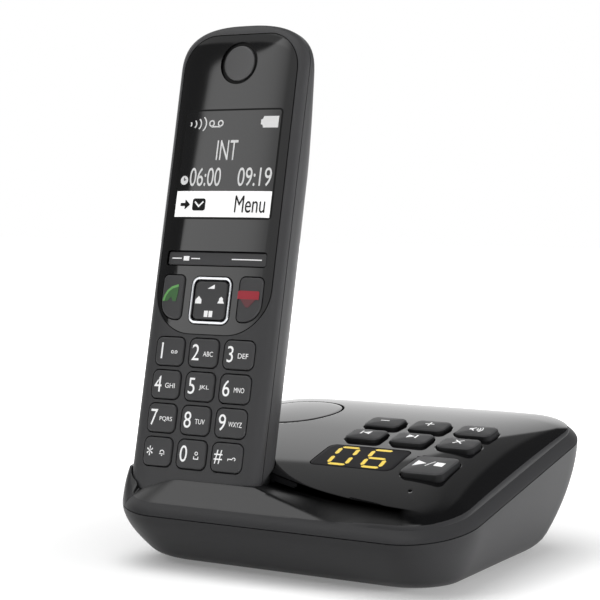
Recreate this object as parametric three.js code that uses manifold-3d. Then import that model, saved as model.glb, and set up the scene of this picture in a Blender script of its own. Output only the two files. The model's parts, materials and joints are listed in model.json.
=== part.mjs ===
// Cordless telephone base with a built-in answering machine, and its handset in the charging cradle.
// Millimetres, +Z up, X to the right, the front of the machine towards -Y.
// The origin lies on the surface that the machine stands on, under the middle of the base.
import * as THREE from "three";
import { mergeVertices } from "three/addons/utils/BufferGeometryUtils.js";
import Module from "manifold-3d";

const wasm = await Module();
wasm.setup();

// Fits and finishes that all pieces share
const gap = 0.3;
const overrun = 6;
const weld = 0.0001;
const keyPlay = 0.35;
const roundSteps = 14;
const smallSteps = 10;

// Base casing: outline at the parting line, which lies in a plane that rises to the back
const base = {
  width: 125.4,
  depth: 113,
  cornerRadius: 20.6,
  seamHeight: 28.6,
  seamTilt: THREE.MathUtils.degToRad(11.25),
  wall: 2.2,
};

// Edges of the casing's outline, from which places in it are counted: room is the way in from an edge
const edge = { left: -base.width / 2, right: base.width / 2, front: -base.depth / 2, back: base.depth / 2 };

// Lower shell: barrel-shaped sides drawn in to a smaller foot outline
const lower = {
  floorHeight: 1.2,
  floorThickness: 2,
  footInsetX: 10,
  footInsetY: 12,
  footRadius: 14.1,
  edgeRound: 1.2,
  barrelPower: 1.7,
};
const lowerLevelShares = [0, 0.05, 0.2, 0.42, 0.7, 1];
const lowerSideShares = [-1, -0.92, -0.82, -0.67, 0, 0.67, 0.82, 0.92];

// Upper shell: a steep band up to the crest, then a smooth dome that ends level on the crest
const upper = {
  bandInset: 2.8,
  bandRise: 3.15,
  domeRise: 9.2,
  acrossPower: 5.5,
  frontPower: 2.2,
};
const backShare = 0.54;
const columnShares = [
  -1, -0.975, -0.958, -0.9, -0.8, -0.62, -0.4, -0.15, 0, 0.15, 0.3, 0.45, 0.6, 0.75, 0.86, 0.93, 0.975, 1,
];
const domeRowShares = [0, 0.08, 0.2, 0.34, 0.48, 0.62, 0.76, 0.88, 0.96, 1];
const shelfRowShare = 0.25;

// Handset: its place is the middle of its front face's lower end, leaning back
const handsetRoom = { left: 29, front: 8 };
const handset = {
  x: edge.left + handsetRoom.left,
  y: edge.front + handsetRoom.front,
  z: 20.3,
  lean: THREE.MathUtils.degToRad(12.48),
  length: 158,
  width: 49,
  frontDepth: 7,
  thickness: 24.4,
  facePower: 5,
  backPower: 2,
  topPower: 2.8,
  bottomPower: 3,
  taperPower: 1.5,
  topEnd: 16,
  bottomEnd: 9,
  taper: 48,
  wall: 1.8,
  seamDepth: 4.3,
};
const handsetRight = handset.x + handset.width / 2;

// Front of the dome: a ramp below the handset, a shelf beside it, and the crease above the shelf
const frontRoom = {
  tuck: -0.2,
  ramp: 9.3,
  ridgeEnd: 41.7,
  creaseEnd: 18.7,
  creaseStartY: 19.3,
  creaseEndY: 8.5,
};
const front = {
  rampTopY: edge.front + frontRoom.ramp,
  rampTopZ: 28.1,
  rampEndX: handsetRight - frontRoom.tuck,
  ridgeEndX: edge.right - frontRoom.ridgeEnd,
  creaseEndX: edge.right - frontRoom.creaseEnd,
  creaseStartX: handsetRight - frontRoom.tuck,
  creaseStartY: edge.front + frontRoom.creaseStartY,
  creaseEndY: edge.front + frontRoom.creaseEndY,
  creaseDepth: 3.2,
  creaseWidth: 0.8,
};

// Rim of the casing that rises beside the handset, on the left
const rimRoom = { front: 5.5, full: 13.5, back: 51.5 };
const rim = {
  outset: 1,
  lift: 7,
  frontY: edge.front + rimRoom.front,
  fullY: edge.front + rimRoom.full,
  backY: edge.front + rimRoom.back,
};
const rimInnerShare = 0.975;
const rimFootShare = 0.958;
const rimBlendShare = 0.8;

const handsetSteps = 28;
const topEndShares = [1, 0.45, 0.2, 0.08, 0.02];
const bottomEndShares = [0.02, 0.1, 0.35, 1];
const endFlatShare = 0.6;
const taperRingShares = [1, 0.6];
const taperFrontShare = 0.75;
const taperBackShare = 0.05;

// Cradle pocket that holds the lower end of the handset
const cradle = { play: 0.4, wall: 1.4, lift: 60 };

// Keys of the base, on a deck parallel to the parting plane
const deck = {
  boardTop: 2.2,
  boardThickness: 1.2,
  matThickness: 1,
  keyBottom: 4.5,
  flange: 0.8,
  guideWall: 1.9,
  stand: 1.7,
  crown: 0.4,
  edge: 0.7,
  keyRadius: 2.4,
};
const keyColumnCount = 3;
const keyFieldRoom = { handset: 10.65, right: 15.45, front: 53.6, between: 3.55 };
const keyField = { left: handsetRight + keyFieldRoom.handset, right: edge.right - keyFieldRoom.right };
const keyFieldFree = keyField.right - keyField.left - keyFieldRoom.between * (keyColumnCount - 1);
const smallKeyHalfX = keyFieldFree / keyColumnCount / 2;
const smallKey = {
  halfX: smallKeyHalfX,
  halfY: 4.65,
  columnX: keyField.left + smallKeyHalfX,
  columnPitch: smallKeyHalfX * 2 + keyFieldRoom.between,
  rowY: edge.front + keyFieldRoom.front,
  rowPitch: 13.15,
};
const playKeyRoom = { right: 22.5, front: 34.2 };
const playKey = {
  halfX: 7.3,
  halfY: 7.6,
  x: edge.right - playKeyRoom.right,
  y: edge.front + playKeyRoom.front,
};
const pagingKeyRoom = { left: 29.5, back: 35.8 };
const pagingKey = {
  x: edge.left + pagingKeyRoom.left,
  y: edge.back - pagingKeyRoom.back,
  radius: 16.6,
  play: 0.5,
};
const windowRoom = { handset: 8.9, playKey: 4, front: 37 };
const windowLeft = handsetRight + windowRoom.handset;
const windowRight = playKey.x - playKey.halfX - windowRoom.playKey;
const window_ = {
  x: (windowLeft + windowRight) / 2,
  y: edge.front + windowRoom.front,
  halfX: (windowRight - windowLeft) / 2,
  halfY: 8.05,
  radius: 2.4,
  seatHeight: 8.5,
  ledge: 1.2,
  collarBottom: 6.8,
  collarWall: 1.6,
};
const digitsRoom = { side: 3.2, end: 2.45 };
const digits = { halfX: window_.halfX - digitsRoom.side, halfY: window_.halfY - digitsRoom.end };
const baseMicrophoneRoom = { right: 21.9, front: 18.9 };
const baseMicrophone = {
  x: edge.right - baseMicrophoneRoom.right,
  y: edge.front + baseMicrophoneRoom.front,
  radius: 3,
  height: 2.4,
  bossRadius: 4.6,
  bossBottom: 2.6,
  hole: 0.6,
};

// Loudspeaker under the front right, over its sound holes in the floor
const speakerRoom = { side: 42.2, front: 30.5 };
const speaker = {
  x: edge.right - speakerRoom.side,
  y: edge.front + speakerRoom.front,
  radius: 13.5,
  height: 6,
  magnetRadius: 7,
  magnetHeight: 3.4,
  cone: 3,
};
const soundHoles = { radius: 1.1, pitch: 4.6 };
const soundReachShare = 0.72;

// Boards in the base: room is what they leave free up to the parting line's outline
const keyBoardRoom = { left: 9.7, right: 11.7, back: 20.5, front: 24.7, handset: 4.6, stepFront: 61.5 };
const keyBoard = {
  left: edge.left + keyBoardRoom.left,
  right: edge.right - keyBoardRoom.right,
  back: edge.back - keyBoardRoom.back,
  front: edge.front + keyBoardRoom.front,
  stepX: handsetRight + keyBoardRoom.handset,
  stepY: edge.front + keyBoardRoom.stepFront,
  radius: 3,
};
const keyMat = { inset: 2.2 };
const mainBoardRoom = { side: 15.7, back: 13.1, front: 18.5, speaker: 6.5 };
const mainBoard = {
  top: 9.6,
  thickness: 1.6,
  halfX: edge.right - mainBoardRoom.side,
  back: edge.back - mainBoardRoom.back,
  middle: speaker.y + speaker.radius + mainBoardRoom.speaker,
  front: edge.front + mainBoardRoom.front,
  stepX: speaker.x - speaker.radius,
  radius: 6,
};
const post = { radius: 2.6, insetX: 6, insetY: 6 };
const deckBoss = { radius: 2.2, inset: 2.9 };

// Sockets for the two leads at the back, and their mouths
const socketRoom = 11.3;
const socket = {
  depth: 11,
  height: 9.6,
  wall: 1.2,
  back: edge.back - socketRoom,
  mouthHeight: 6.8,
  mouthDepth: 9,
};
const lineSocket = { x: 19, mouth: 9.8 };
const powerSocket = { x: -19, mouth: 7.8 };
const socketWindow = { play: 0.5 };

// Feet and casing screws under the base
const footRoom = { side: 24.7, end: 26.5 };
const foot = {
  x: edge.right - footRoom.side,
  y: edge.back - footRoom.end,
  radius: 4.6,
  height: 1.7,
  recess: 0.8,
  play: 0.2,
};
const screwRoom = { side: 20.7, back: 17.5 };
const screw = {
  x: edge.right - screwRoom.side,
  y: edge.back - screwRoom.back,
  headRadius: 2.4,
  headHeight: 1.8,
  shankRadius: 1.3,
  length: 14,
  seatHeight: 13,
  tubeRadius: 4,
  tubeTop: 15.2,
  boreRadius: 1.6,
  bossRadius: 3.4,
  wellPlay: 0.5,
};

// Charging springs in the cradle and pads on the handset
const contact = { spread: 9, depth: 12, width: 3, strip: 0.5, hook: 2.4, tail: 3, slotPlay: 0.6 };
const pad = { halfX: 2.2, halfDepth: 2.6, thickness: 0.6, recess: 0.6 };

// Front of the handset: room is the way down from its top
const plate = { thickness: 2.8 };
const topRoom = { panel: 3.8, ear: 13.5, screen: 29.5, board: 23 };
const panel = {
  thickness: 1.3,
  halfWidth: 22.2,
  bottom: 54.8,
  top: handset.length - topRoom.panel,
  bottomRadius: 15,
  topRadius: 12,
  edge: 0.25,
};
const lcd = {
  halfWidth: 18.4,
  bottom: 93,
  top: handset.length - topRoom.screen,
  radius: 0.8,
  rim: 0.6,
  depth: 3.9,
};
const ear = {
  v: handset.length - topRoom.ear,
  ringRadius: 7.1,
  capRadius: 5.9,
  capDrop: 0.1,
  soundRadius: 4,
};
const receiver = { radius: 6.6, height: 2.9 };
const keyDepth = { proud: 0.6, bottom: 3.9, rim: 0.65, crown: 0.15, edge: 0.5, radius: 2.1 };
const numberKey = { halfX: 5.55, halfV: 4.6, pitchX: 13.2, pitchV: 10.86, topV: 48.7 };
const callKey = { inner: 10.6, outer: 19.1, bottom: 59.2, top: 73.7, radius: 1.8, outerCorner: 6 };
const softBar = { halfX: 18.85, bottom: 77.2, top: 81.6, proud: -0.35, radius: 0.8, tilt: 1 };
const nav = {
  v: 65.75, half: 6.5, radius: 1.8, proud: 0.5, flangeGap: 0.7, pivotRadius: 2, pivotPlay: 0.6,
  frameHalf: 7.7, frameWidth: 0.8, frameProud: 0.35, frameRadius: 2.7,
};
const handsetBoard = {
  front: 6,
  thickness: 1.2,
  halfX: 20.6,
  bottom: 9,
  top: handset.length - topRoom.board,
  radius: 2,
};
const handsetMat = { front: 4.7, thickness: 1, halfX: 19.8, bottom: 10.2, top: 84, radius: 2 };
const handsetMicrophone = { v: 5.6, radius: 2, hole: 0.5, height: 2.2 };

// Back of the handset
const cell = { radius: 5.25, length: 44.5, spread: 5.9, depth: 16, bottom: 43, nub: 0.9, nubRadius: 1.9 };
const tub = { wall: 1.2, play: 0.6 };
const cover = { halfX: 15.5, bottom: 36, top: 97, thickness: 1.5, skirt: 1.2, lap: 1.2, radius: 4, lift: 12 };
const ringerRoom = 10;
const ringer = { radius: 9, height: 3.6, hole: 0.9, ring: 4.5 };
const ringerHoleCount = 6;

// Values worked out from the sizes above
const ringerV = cover.top + ringerRoom + ringer.radius;
const seamHalfX = base.width / 2;
const seamHalfY = base.depth / 2;
const crestHalfX = seamHalfX - upper.bandInset;
const crestHalfY = seamHalfY - upper.bandInset;
const crestRadius = base.cornerRadius - upper.bandInset;
const seamSlope = Math.tan(base.seamTilt);
const floorTop = lower.floorHeight + lower.floorThickness;
const matTop = deck.boardTop + gap + deck.matThickness;
const guideBottom = deck.keyBottom + deck.flange + gap;

const seamZ = (y) => base.seamHeight + seamSlope * y;
const crestZ = (y) => seamZ(y) + upper.bandRise;
const mix = (a, b, share) => a + (b - a) * share;
const clamp01 = (value) => Math.min(1, Math.max(0, value));
const smooth01 = (value) => clamp01(value) ** 2 * (3 - 2 * clamp01(value));

const finishes = {
  glossBlack: finish(0x0b0b0c, 0.08, 0),
  satinGrey: finish(0x2b2b2d, 0.45, 0),
  handsetGrey: finish(0x303032, 0.42, 0),
  keyGrey: finish(0x2a2a2c, 0.55, 0),
  glass: finish(0x141416, 0.05, 0),
  silver: finish(0xc9cbce, 0.25, 1),
  board: finish(0x1f5a34, 0.6, 0),
  silicone: finish(0x6d7074, 0.75, 0),
  metal: finish(0xb9b4a6, 0.3, 1),
  rubber: finish(0x151515, 0.85, 0),
  blackPlastic: finish(0x17171a, 0.6, 0),
  cellGreen: finish(0x2f6f4a, 0.4, 0),
  display: finish(0x1b1410, 0.3, 0),
};

function finish(colour, roughness, metalness) {
  return new THREE.MeshStandardMaterial({ color: colour, roughness, metalness });
}

// A closed geometry as a solid: only its positions count, with shared corners merged.
function solid(geometry) {
  const plain = geometry.index ? geometry.toNonIndexed() : geometry.clone();
  plain.deleteAttribute("normal");
  plain.deleteAttribute("uv");
  const merged = mergeVertices(plain, weld);
  const vertProperties = merged.attributes.position.array;
  const triVerts = new Uint32Array(merged.index.array);
  return new wasm.Manifold(new wasm.Mesh({ numProp: 3, vertProperties, triVerts }));
}

function geometryOf(body) {
  const data = body.getMesh();
  const geometry = new THREE.BufferGeometry();
  geometry.setAttribute("position", new THREE.BufferAttribute(new Float32Array(data.vertProperties), 3));
  geometry.setIndex(new THREE.BufferAttribute(new Uint32Array(data.triVerts), 1));
  geometry.computeVertexNormals();
  return geometry;
}

function place(group, name, body, material) {
  const mesh = new THREE.Mesh(geometryOf(body), material);
  mesh.name = name;
  group.add(mesh);
}

// The geometry as it lies in the frame of a turned group, in the part's own frame.
function inWorld(group, geometry) {
  group.updateMatrixWorld(true);
  return geometry.clone().applyMatrix4(group.matrixWorld);
}

function joinAll(bodies) {
  return bodies.reduce((whole, body) => whole.add(body));
}

function cutAll(body, cutters) {
  return cutters.reduce((rest, cutter) => rest.subtract(cutter), body);
}

// A skin over rings of equal point counts, closed by a fan at each end.
// The rings run anticlockwise seen from their last ring's side.
function loft(rings) {
  const count = rings[0].length;
  const ends = [rings[0], rings[rings.length - 1]].map(middleOf);
  const points = [...rings.flat(), ...ends];
  const faces = [];
  for (let level = 0; level + 1 < rings.length; level++) {
    for (let side = 0; side < count; side++) {
      const next = (side + 1) % count;
      const a = level * count + side;
      const b = level * count + next;
      faces.push(a, b, b + count, a, b + count, a + count);
    }
  }
  const last = (rings.length - 1) * count;
  for (let side = 0; side < count; side++) {
    const next = (side + 1) % count;
    faces.push(points.length - 2, next, side);
    faces.push(points.length - 1, last + side, last + next);
  }
  return fromFaces(points, faces);
}

function fromFaces(points, faces) {
  const geometry = new THREE.BufferGeometry().setFromPoints(points);
  geometry.setIndex(faces);
  return geometry;
}

function middleOf(ring) {
  return ring.reduce((sum, point) => sum.add(point), new THREE.Vector3()).divideScalar(ring.length);
}

function block(x0, x1, y0, y1, z0, z1) {
  const geometry = new THREE.BoxGeometry(x1 - x0, y1 - y0, z1 - z0);
  return geometry.translate((x0 + x1) / 2, (y0 + y1) / 2, (z0 + z1) / 2);
}

// An upright cylinder; the handset's cylinders along its depth use depthCylinder.
function cylinder(x, y, radius, z0, z1, steps = roundSteps) {
  const geometry = new THREE.CylinderGeometry(radius, radius, z1 - z0, steps);
  return geometry.rotateX(Math.PI / 2).translate(x, y, (z0 + z1) / 2);
}

function depthCylinder(x, z, radius, y0, y1, steps = roundSteps) {
  const geometry = new THREE.CylinderGeometry(radius, radius, y1 - y0, steps);
  return geometry.translate(x, (y0 + y1) / 2, z);
}

// A rectangle with its own radius at each corner: right bottom, right top, left top, left bottom.
function cornered(x0, x1, y0, y1, radii) {
  const [rightBottom, rightTop, leftTop, leftBottom] = radii;
  const shape = new THREE.Shape();
  const quarter = Math.PI / 2;
  shape.absarc(x1 - rightBottom, y0 + rightBottom, rightBottom, -quarter, 0);
  shape.absarc(x1 - rightTop, y1 - rightTop, rightTop, 0, quarter);
  shape.absarc(x0 + leftTop, y1 - leftTop, leftTop, quarter, Math.PI);
  shape.absarc(x0 + leftBottom, y0 + leftBottom, leftBottom, Math.PI, Math.PI + quarter);
  shape.closePath();
  return shape;
}

// An upright prism over a shape, between two heights.
function prism(shape, z0, z1, steps = 2) {
  const options = { depth: z1 - z0, bevelEnabled: false, curveSegments: steps };
  return new THREE.ExtrudeGeometry(shape, options).translate(0, 0, z0);
}

// A prism over a shape drawn across and along the handset, between two depths behind its face.
function faceSlab(shape, depth0, depth1, steps = 2) {
  return prism(shape, -depth1, -depth0, steps).rotateX(Math.PI / 2);
}

function ringOf(shape, z, steps = 1) {
  const points = shape.getPoints(steps);
  const last = points.length - 1;
  if (points[0].distanceTo(points[last]) < weld) points.pop();
  return points.map((point) => new THREE.Vector3(point.x, point.y, z));
}

// How far along a ray through (a, b) on the unit square's edge a rectangle's round corner lies,
// as a share of the way to the sharp rectangle: 1 on the straight sides.
function cornerShare(a, b, halfX, halfY, radius) {
  const p = new THREE.Vector2(Math.abs(a) * halfX, Math.abs(b) * halfY);
  const c = new THREE.Vector2(halfX - radius, halfY - radius);
  if (p.x <= c.x || p.y <= c.y) return 1;
  const along = p.dot(c);
  return (along + Math.sqrt(along ** 2 - p.dot(p) * (c.dot(c) - radius ** 2))) / p.dot(p);
}

function onOutline(s, t, halfX, halfY, radius) {
  const reach = Math.max(Math.abs(s), Math.abs(t));
  const share = reach > 0 ? cornerShare(s / reach, t / reach, halfX, halfY, radius) : 1;
  return new THREE.Vector2(s * halfX * share, t * halfY * share);
}

// Crease between dome and shelf: a parabola that ends level with the ramp's top on the right.
function creaseY(x) {
  const reach = (front.creaseEndX - x) / (front.creaseEndX - front.creaseStartX);
  return mix(front.creaseEndY, front.creaseStartY, clamp01(reach) ** 2);
}

// Ridge between ramp and shelf: it runs from the handset's corner down to the crest.
function ridgeY(x) {
  const reach = clamp01((x - front.rampEndX) / (front.ridgeEndX - front.rampEndX));
  return mix(front.rampTopY, -crestHalfY, reach);
}

// The dome's two curves: the square of its height falls off to both sides, and to the front and back.
function acrossCurve(x) {
  return 1 - Math.min(1, Math.abs(x) / crestHalfX) ** upper.acrossPower;
}

function alongCurve(y) {
  const share = Math.min(1, Math.abs(y) / crestHalfY);
  if (y < 0) return 1 - share ** upper.frontPower;
  return (1 - share ** 2) * (1 - backShare * share ** 2);
}

// Height of the dome: the root of the curves' product, less what brings the round corners level.
function domeZ(x, y) {
  const coreX = crestHalfX - crestRadius;
  const coreY = crestHalfY - crestRadius;
  const cornerX = Math.abs(x) - coreX;
  const cornerY = Math.abs(y) - coreY;
  let square = acrossCurve(x) * alongCurve(y);
  if (cornerX > 0 && cornerY > 0) {
    const angle = Math.atan2(cornerY, cornerX);
    const endX = coreX + crestRadius * Math.cos(angle);
    const endY = Math.sign(y) * (coreY + crestRadius * Math.sin(angle));
    const reach = Math.min(1, Math.hypot(cornerX, cornerY) / crestRadius);
    square -= acrossCurve(endX) * alongCurve(endY) * reach ** 2;
  }
  return crestZ(y) + upper.domeRise * Math.sqrt(Math.max(0, square));
}

// Height of the shelf and ramp in front of the crease, in column s at t, on the rows of rowPlaces.
function frontZ(s, t, halfX, halfY, radius) {
  const x = s * crestHalfX;
  const crestY = onOutline(s, -1, halfX, halfY, radius).y;
  const tCrease = creaseY(x) / crestHalfY;
  const tFoot = tCrease - front.creaseWidth / crestHalfY;
  const tRidge = ridgeY(x) / crestHalfY;
  const depthShare = clamp01((front.creaseEndX - x) / (front.creaseEndX - front.creaseStartX));
  const brinkPlace = onOutline(s, tCrease, crestHalfX, crestHalfY, crestRadius);
  const brink = domeZ(brinkPlace.x, brinkPlace.y);
  const footZ = brink - front.creaseDepth * depthShare;
  const rampSlope = (front.rampTopZ - crestZ(-crestHalfY)) / (front.rampTopY + crestHalfY);
  const lowZ = crestZ(crestY);
  const ridgeZ = lowZ + rampSlope * (ridgeY(x) + crestHalfY);
  if (t < tRidge) return mix(lowZ, ridgeZ, (t + 1) / (tRidge + 1));
  if (t < tFoot) return mix(ridgeZ, footZ, (t - tRidge) / (tFoot - tRidge));
  return mix(footZ, brink, (t - tFoot) / (tCrease - tFoot));
}

// A point of the upper shell's top at s across and t along, both from -1 to 1.
function topPoint(s, t, inset, drop) {
  const halfX = crestHalfX - inset;
  const halfY = crestHalfY - inset;
  const radius = crestRadius - inset;
  const flat = onOutline(s, t, halfX, halfY, radius);
  const outer = onOutline(s, t, crestHalfX, crestHalfY, crestRadius);
  const x = s * crestHalfX;
  let z = domeZ(outer.x, outer.y) + seamSlope * (flat.y - outer.y);
  if (t < creaseY(x) / crestHalfY && x < front.creaseEndX) {
    const fade = smooth01((front.creaseEndX - x) / (front.creaseEndX - front.ridgeEndX));
    z = mix(z, frontZ(s, t, halfX, halfY, radius), fade);
  }
  const rise = smooth01((flat.y - rim.frontY) / (rim.fullY - rim.frontY));
  const fall = clamp01((rim.backY - flat.y) / (rim.backY - rim.fullY));
  const lift = rise * fall;
  const onRim = clamp01((-s - rimFootShare) / (rimInnerShare - rimFootShare));
  const outset = clamp01((-s - rimBlendShare) / (rimFootShare - rimBlendShare));
  z = mix(z, crestZ(flat.y) + rim.lift * lift, onRim);
  return new THREE.Vector3(flat.x - rim.outset * outset * rise, flat.y, z - drop);
}

// Rows of the top in column s: the crest, the ridge, the shelf, both edges of the crease, the dome.
function rowPlaces(s) {
  const x = s * crestHalfX;
  const tCrease = creaseY(x) / crestHalfY;
  const tFoot = tCrease - front.creaseWidth / crestHalfY;
  const tRidge = Math.max(ridgeY(x) / crestHalfY, mix(-1, tFoot, shelfRowShare));
  const shelf = [-1, tRidge, (tRidge + tFoot) / 2, tFoot];
  return [...shelf, ...domeRowShares.map((share) => mix(tCrease, 1, share))];
}

// The body under the upper shell's top: a grid over the dome, a skirt to the outline, a flat foot.
function upperBody(inset, drop, skirtInset, footDrop) {
  const columns = columnShares.length;
  const rows = rowPlaces(0).length;
  const grid = columnShares.flatMap((s) => rowPlaces(s).map((t) => [s, t]));
  const top = grid.map(([s, t]) => topPoint(s, t, inset, drop));
  const index = (column, row) => column * rows + row;
  const border = [];
  for (let column = 0; column < columns; column++) border.push(index(column, 0));
  for (let row = 1; row < rows; row++) border.push(index(columns - 1, row));
  for (let column = columns - 2; column >= 0; column--) border.push(index(column, rows - 1));
  for (let row = rows - 2; row > 0; row--) border.push(index(0, row));
  const footRing = border.map((corner) => {
    const [s, t] = grid[corner];
    const flat = onOutline(
      s, t, seamHalfX - skirtInset, seamHalfY - skirtInset, base.cornerRadius - skirtInset,
    );
    return new THREE.Vector3(flat.x, flat.y, seamZ(flat.y) - footDrop);
  });
  const faces = [];
  for (let column = 0; column + 1 < columns; column++) {
    for (let row = 0; row + 1 < rows; row++) {
      const a = index(column, row);
      const b = index(column + 1, row);
      faces.push(a, b, b + 1, a, b + 1, a + 1);
    }
  }
  const firstFoot = top.length;
  const middle = firstFoot + footRing.length;
  border.forEach((corner, place) => {
    const following = (place + 1) % border.length;
    const foot0 = firstFoot + place;
    const foot1 = firstFoot + following;
    faces.push(foot0, foot1, border[following], foot0, border[following], corner);
    faces.push(middle, foot1, foot0);
  });
  return fromFaces([...top, ...footRing, middleOf(footRing)], faces);
}

// The lower shell's skin, or its inside when drawn in by a wall, up to the parting plane.
function lowerBody(inset, bottom, topRise) {
  const rings = lowerLevelShares.map((share) => {
    const drawn = (1 - share) ** lower.barrelPower;
    const rounding = share > 0 ? 0 : lower.edgeRound;
    const halfX = seamHalfX - lower.footInsetX * drawn - inset - rounding;
    const halfY = seamHalfY - lower.footInsetY * drawn - inset - rounding;
    const radius = mix(lower.footRadius, base.cornerRadius, 1 - drawn) - inset;
    return squareTour(lowerSideShares).map(([s, t]) => {
      const flat = onOutline(s, t, halfX, halfY, radius);
      return new THREE.Vector3(flat.x, flat.y, mix(bottom, seamZ(flat.y) + topRise, share));
    });
  });
  return loft(rings);
}

// Points once round the unit square's edge, anticlockwise, the same shares on each side.
function squareTour(shares) {
  return [
    ...shares.map((share) => [share, -1]),
    ...shares.map((share) => [1, share]),
    ...shares.map((share) => [-share, 1]),
    ...shares.map((share) => [-1, -share]),
  ];
}

// How wide a rounded end is at a share of its length: a power curve from 0 at the tip to 1.
function roundness(share, power) {
  return (1 - (1 - Math.min(1, share)) ** power) ** (1 / power);
}

// The handset's outer form, grown or drawn in by a distance all round: rings along its length.
// Towards the top the back comes forward over the taper's length.
function handsetBody(grow) {
  const halfX = handset.width / 2 + grow;
  const ring = (z, k, taper) => {
    const sink = handset.frontDepth * (1 - endFlatShare) * (1 - k);
    const widest = handset.frontDepth * mix(taperFrontShare, 1, taper);
    const depthShare = mix(endFlatShare, 1, k) * mix(taperBackShare, 1, taper);
    const backDepth = (handset.thickness - handset.frontDepth) * depthShare + grow;
    const points = [];
    for (let step = 0; step < handsetSteps; step++) {
      const angle = (step / handsetSteps) * 2 * Math.PI;
      const c = Math.cos(angle);
      const d = Math.sin(angle);
      const power = d < 0 ? handset.facePower : handset.backPower;
      const depth = d < 0 ? widest - sink + grow : backDepth;
      const across = Math.sign(c) * halfX * k * Math.abs(c) ** (2 / power);
      points.push(new THREE.Vector3(across, widest + Math.sign(d) * depth * Math.abs(d) ** (2 / power), z));
    }
    return points;
  };
  const low = bottomEndShares.map((share) =>
    ring(share * handset.bottomEnd - grow, roundness(share, handset.bottomPower), 1),
  );
  const places = [
    ...taperRingShares.map((share) => share * handset.taper),
    ...topEndShares.map((share) => share * handset.topEnd),
  ];
  const high = places.map((below) => {
    const k = roundness(below / handset.topEnd, handset.topPower);
    return ring(handset.length + grow - below, k, roundness(below / handset.taper, handset.taperPower));
  });
  return loft([...low, ...high]);
}

// Depth of the handset's back behind its face, at a place across it and along it.
function backAt(x, v) {
  const inward = 1 - Math.abs(x) / (handset.width / 2);
  const taper = roundness((handset.length - v) / handset.taper, handset.taperPower);
  const widest = handset.frontDepth * mix(taperFrontShare, 1, taper);
  const backDepth = (handset.thickness - handset.frontDepth) * mix(taperBackShare, 1, taper);
  return widest + backDepth * roundness(inward, handset.backPower);
}

// A key: a wide flange, then a cap with a softened edge and a slight crown, standing upright.
function keyBody(shapeOf, sizes) {
  const { bottom, flangeTop, top, rimWidth, edge, crown } = sizes;
  const rings = [
    ringOf(shapeOf(rimWidth), bottom),
    ringOf(shapeOf(rimWidth), flangeTop),
    ringOf(shapeOf(0), flangeTop),
    ringOf(shapeOf(0), top - edge),
    ringOf(shapeOf(-edge), top),
  ];
  rings[4].forEach((point) => {
    point.z -= crown;
  });
  const geometry = loft(rings);
  const position = geometry.attributes.position;
  position.setZ(position.count - 1, top);
  return geometry;
}

const part = new THREE.Group();
const deckGroup = new THREE.Group();
deckGroup.position.set(0, 0, base.seamHeight);
deckGroup.rotation.x = base.seamTilt;
part.add(deckGroup);
const handsetGroup = new THREE.Group();
handsetGroup.position.set(handset.x, handset.y, handset.z);
handsetGroup.rotation.x = -handset.lean;
part.add(handsetGroup);

// Height of the dome above the deck's plane, at a place of the deck.
function deckSurface(x, yDeck) {
  let z = guideBottom;
  for (let round = 0; round < 6; round++) {
    const y = yDeck * Math.cos(base.seamTilt) - z * Math.sin(base.seamTilt);
    z = (domeZ(x, y) - seamZ(y)) * Math.cos(base.seamTilt);
  }
  return z;
}

const deckKeys = [
  ...["key_previous", "key_next", "key_delete"].map((name, column) => [name, column, 0]),
  ...["key_minus", "key_plus", "key_speaker"].map((name, column) => [name, column, 1]),
].map(([name, column, row]) => ({
  name,
  x: smallKey.columnX + column * smallKey.columnPitch,
  y: smallKey.rowY + row * smallKey.rowPitch,
  halfX: smallKey.halfX,
  halfY: smallKey.halfY,
}));
deckKeys.push({ name: "key_play_stop", ...playKey });

// A deck key's outline grown by a distance, in the deck's frame.
const deckOutline = (key, grow) =>
  cornered(
    key.x - key.halfX - grow, key.x + key.halfX + grow, key.y - key.halfY - grow, key.y + key.halfY + grow,
    Array(4).fill(deck.keyRadius + grow),
  );
const windowOutline = (grow) =>
  cornered(
    window_.x - window_.halfX - grow, window_.x + window_.halfX + grow,
    window_.y - window_.halfY - grow, window_.y + window_.halfY + grow,
    Array(4).fill(window_.radius + grow),
  );

const skin = solid(upperBody(0, 0, 0, -gap / 2));
const aboveDeck = deck.stand + upper.domeRise + upper.bandRise + overrun;

function addDeckKeys() {
  for (const key of deckKeys) {
    const body = keyBody((grow) => deckOutline(key, grow), {
      bottom: deck.keyBottom,
      flangeTop: deck.keyBottom + deck.flange,
      top: deckSurface(key.x, key.y) + deck.stand,
      rimWidth: deck.flange,
      edge: deck.edge,
      crown: deck.crown,
    });
    place(deckGroup, key.name, solid(body), finishes.keyGrey);
  }
}

// The paging key is a disc cut from the casing's own dome, on a flange and a short stem.
function addPagingKey() {
  const disc = solid(inWorld(deckGroup, cylinder(
    pagingKey.x, pagingKey.y, pagingKey.radius, deck.keyBottom, aboveDeck, 2 * roundSteps,
  ))).intersect(skin);
  const flange = solid(inWorld(deckGroup, cylinder(
    pagingKey.x, pagingKey.y, pagingKey.radius + deck.flange,
    deck.keyBottom, deck.keyBottom + deck.flange, 2 * roundSteps,
  )));
  place(part, "paging_key", disc.add(flange), finishes.glossBlack);
}

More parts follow.
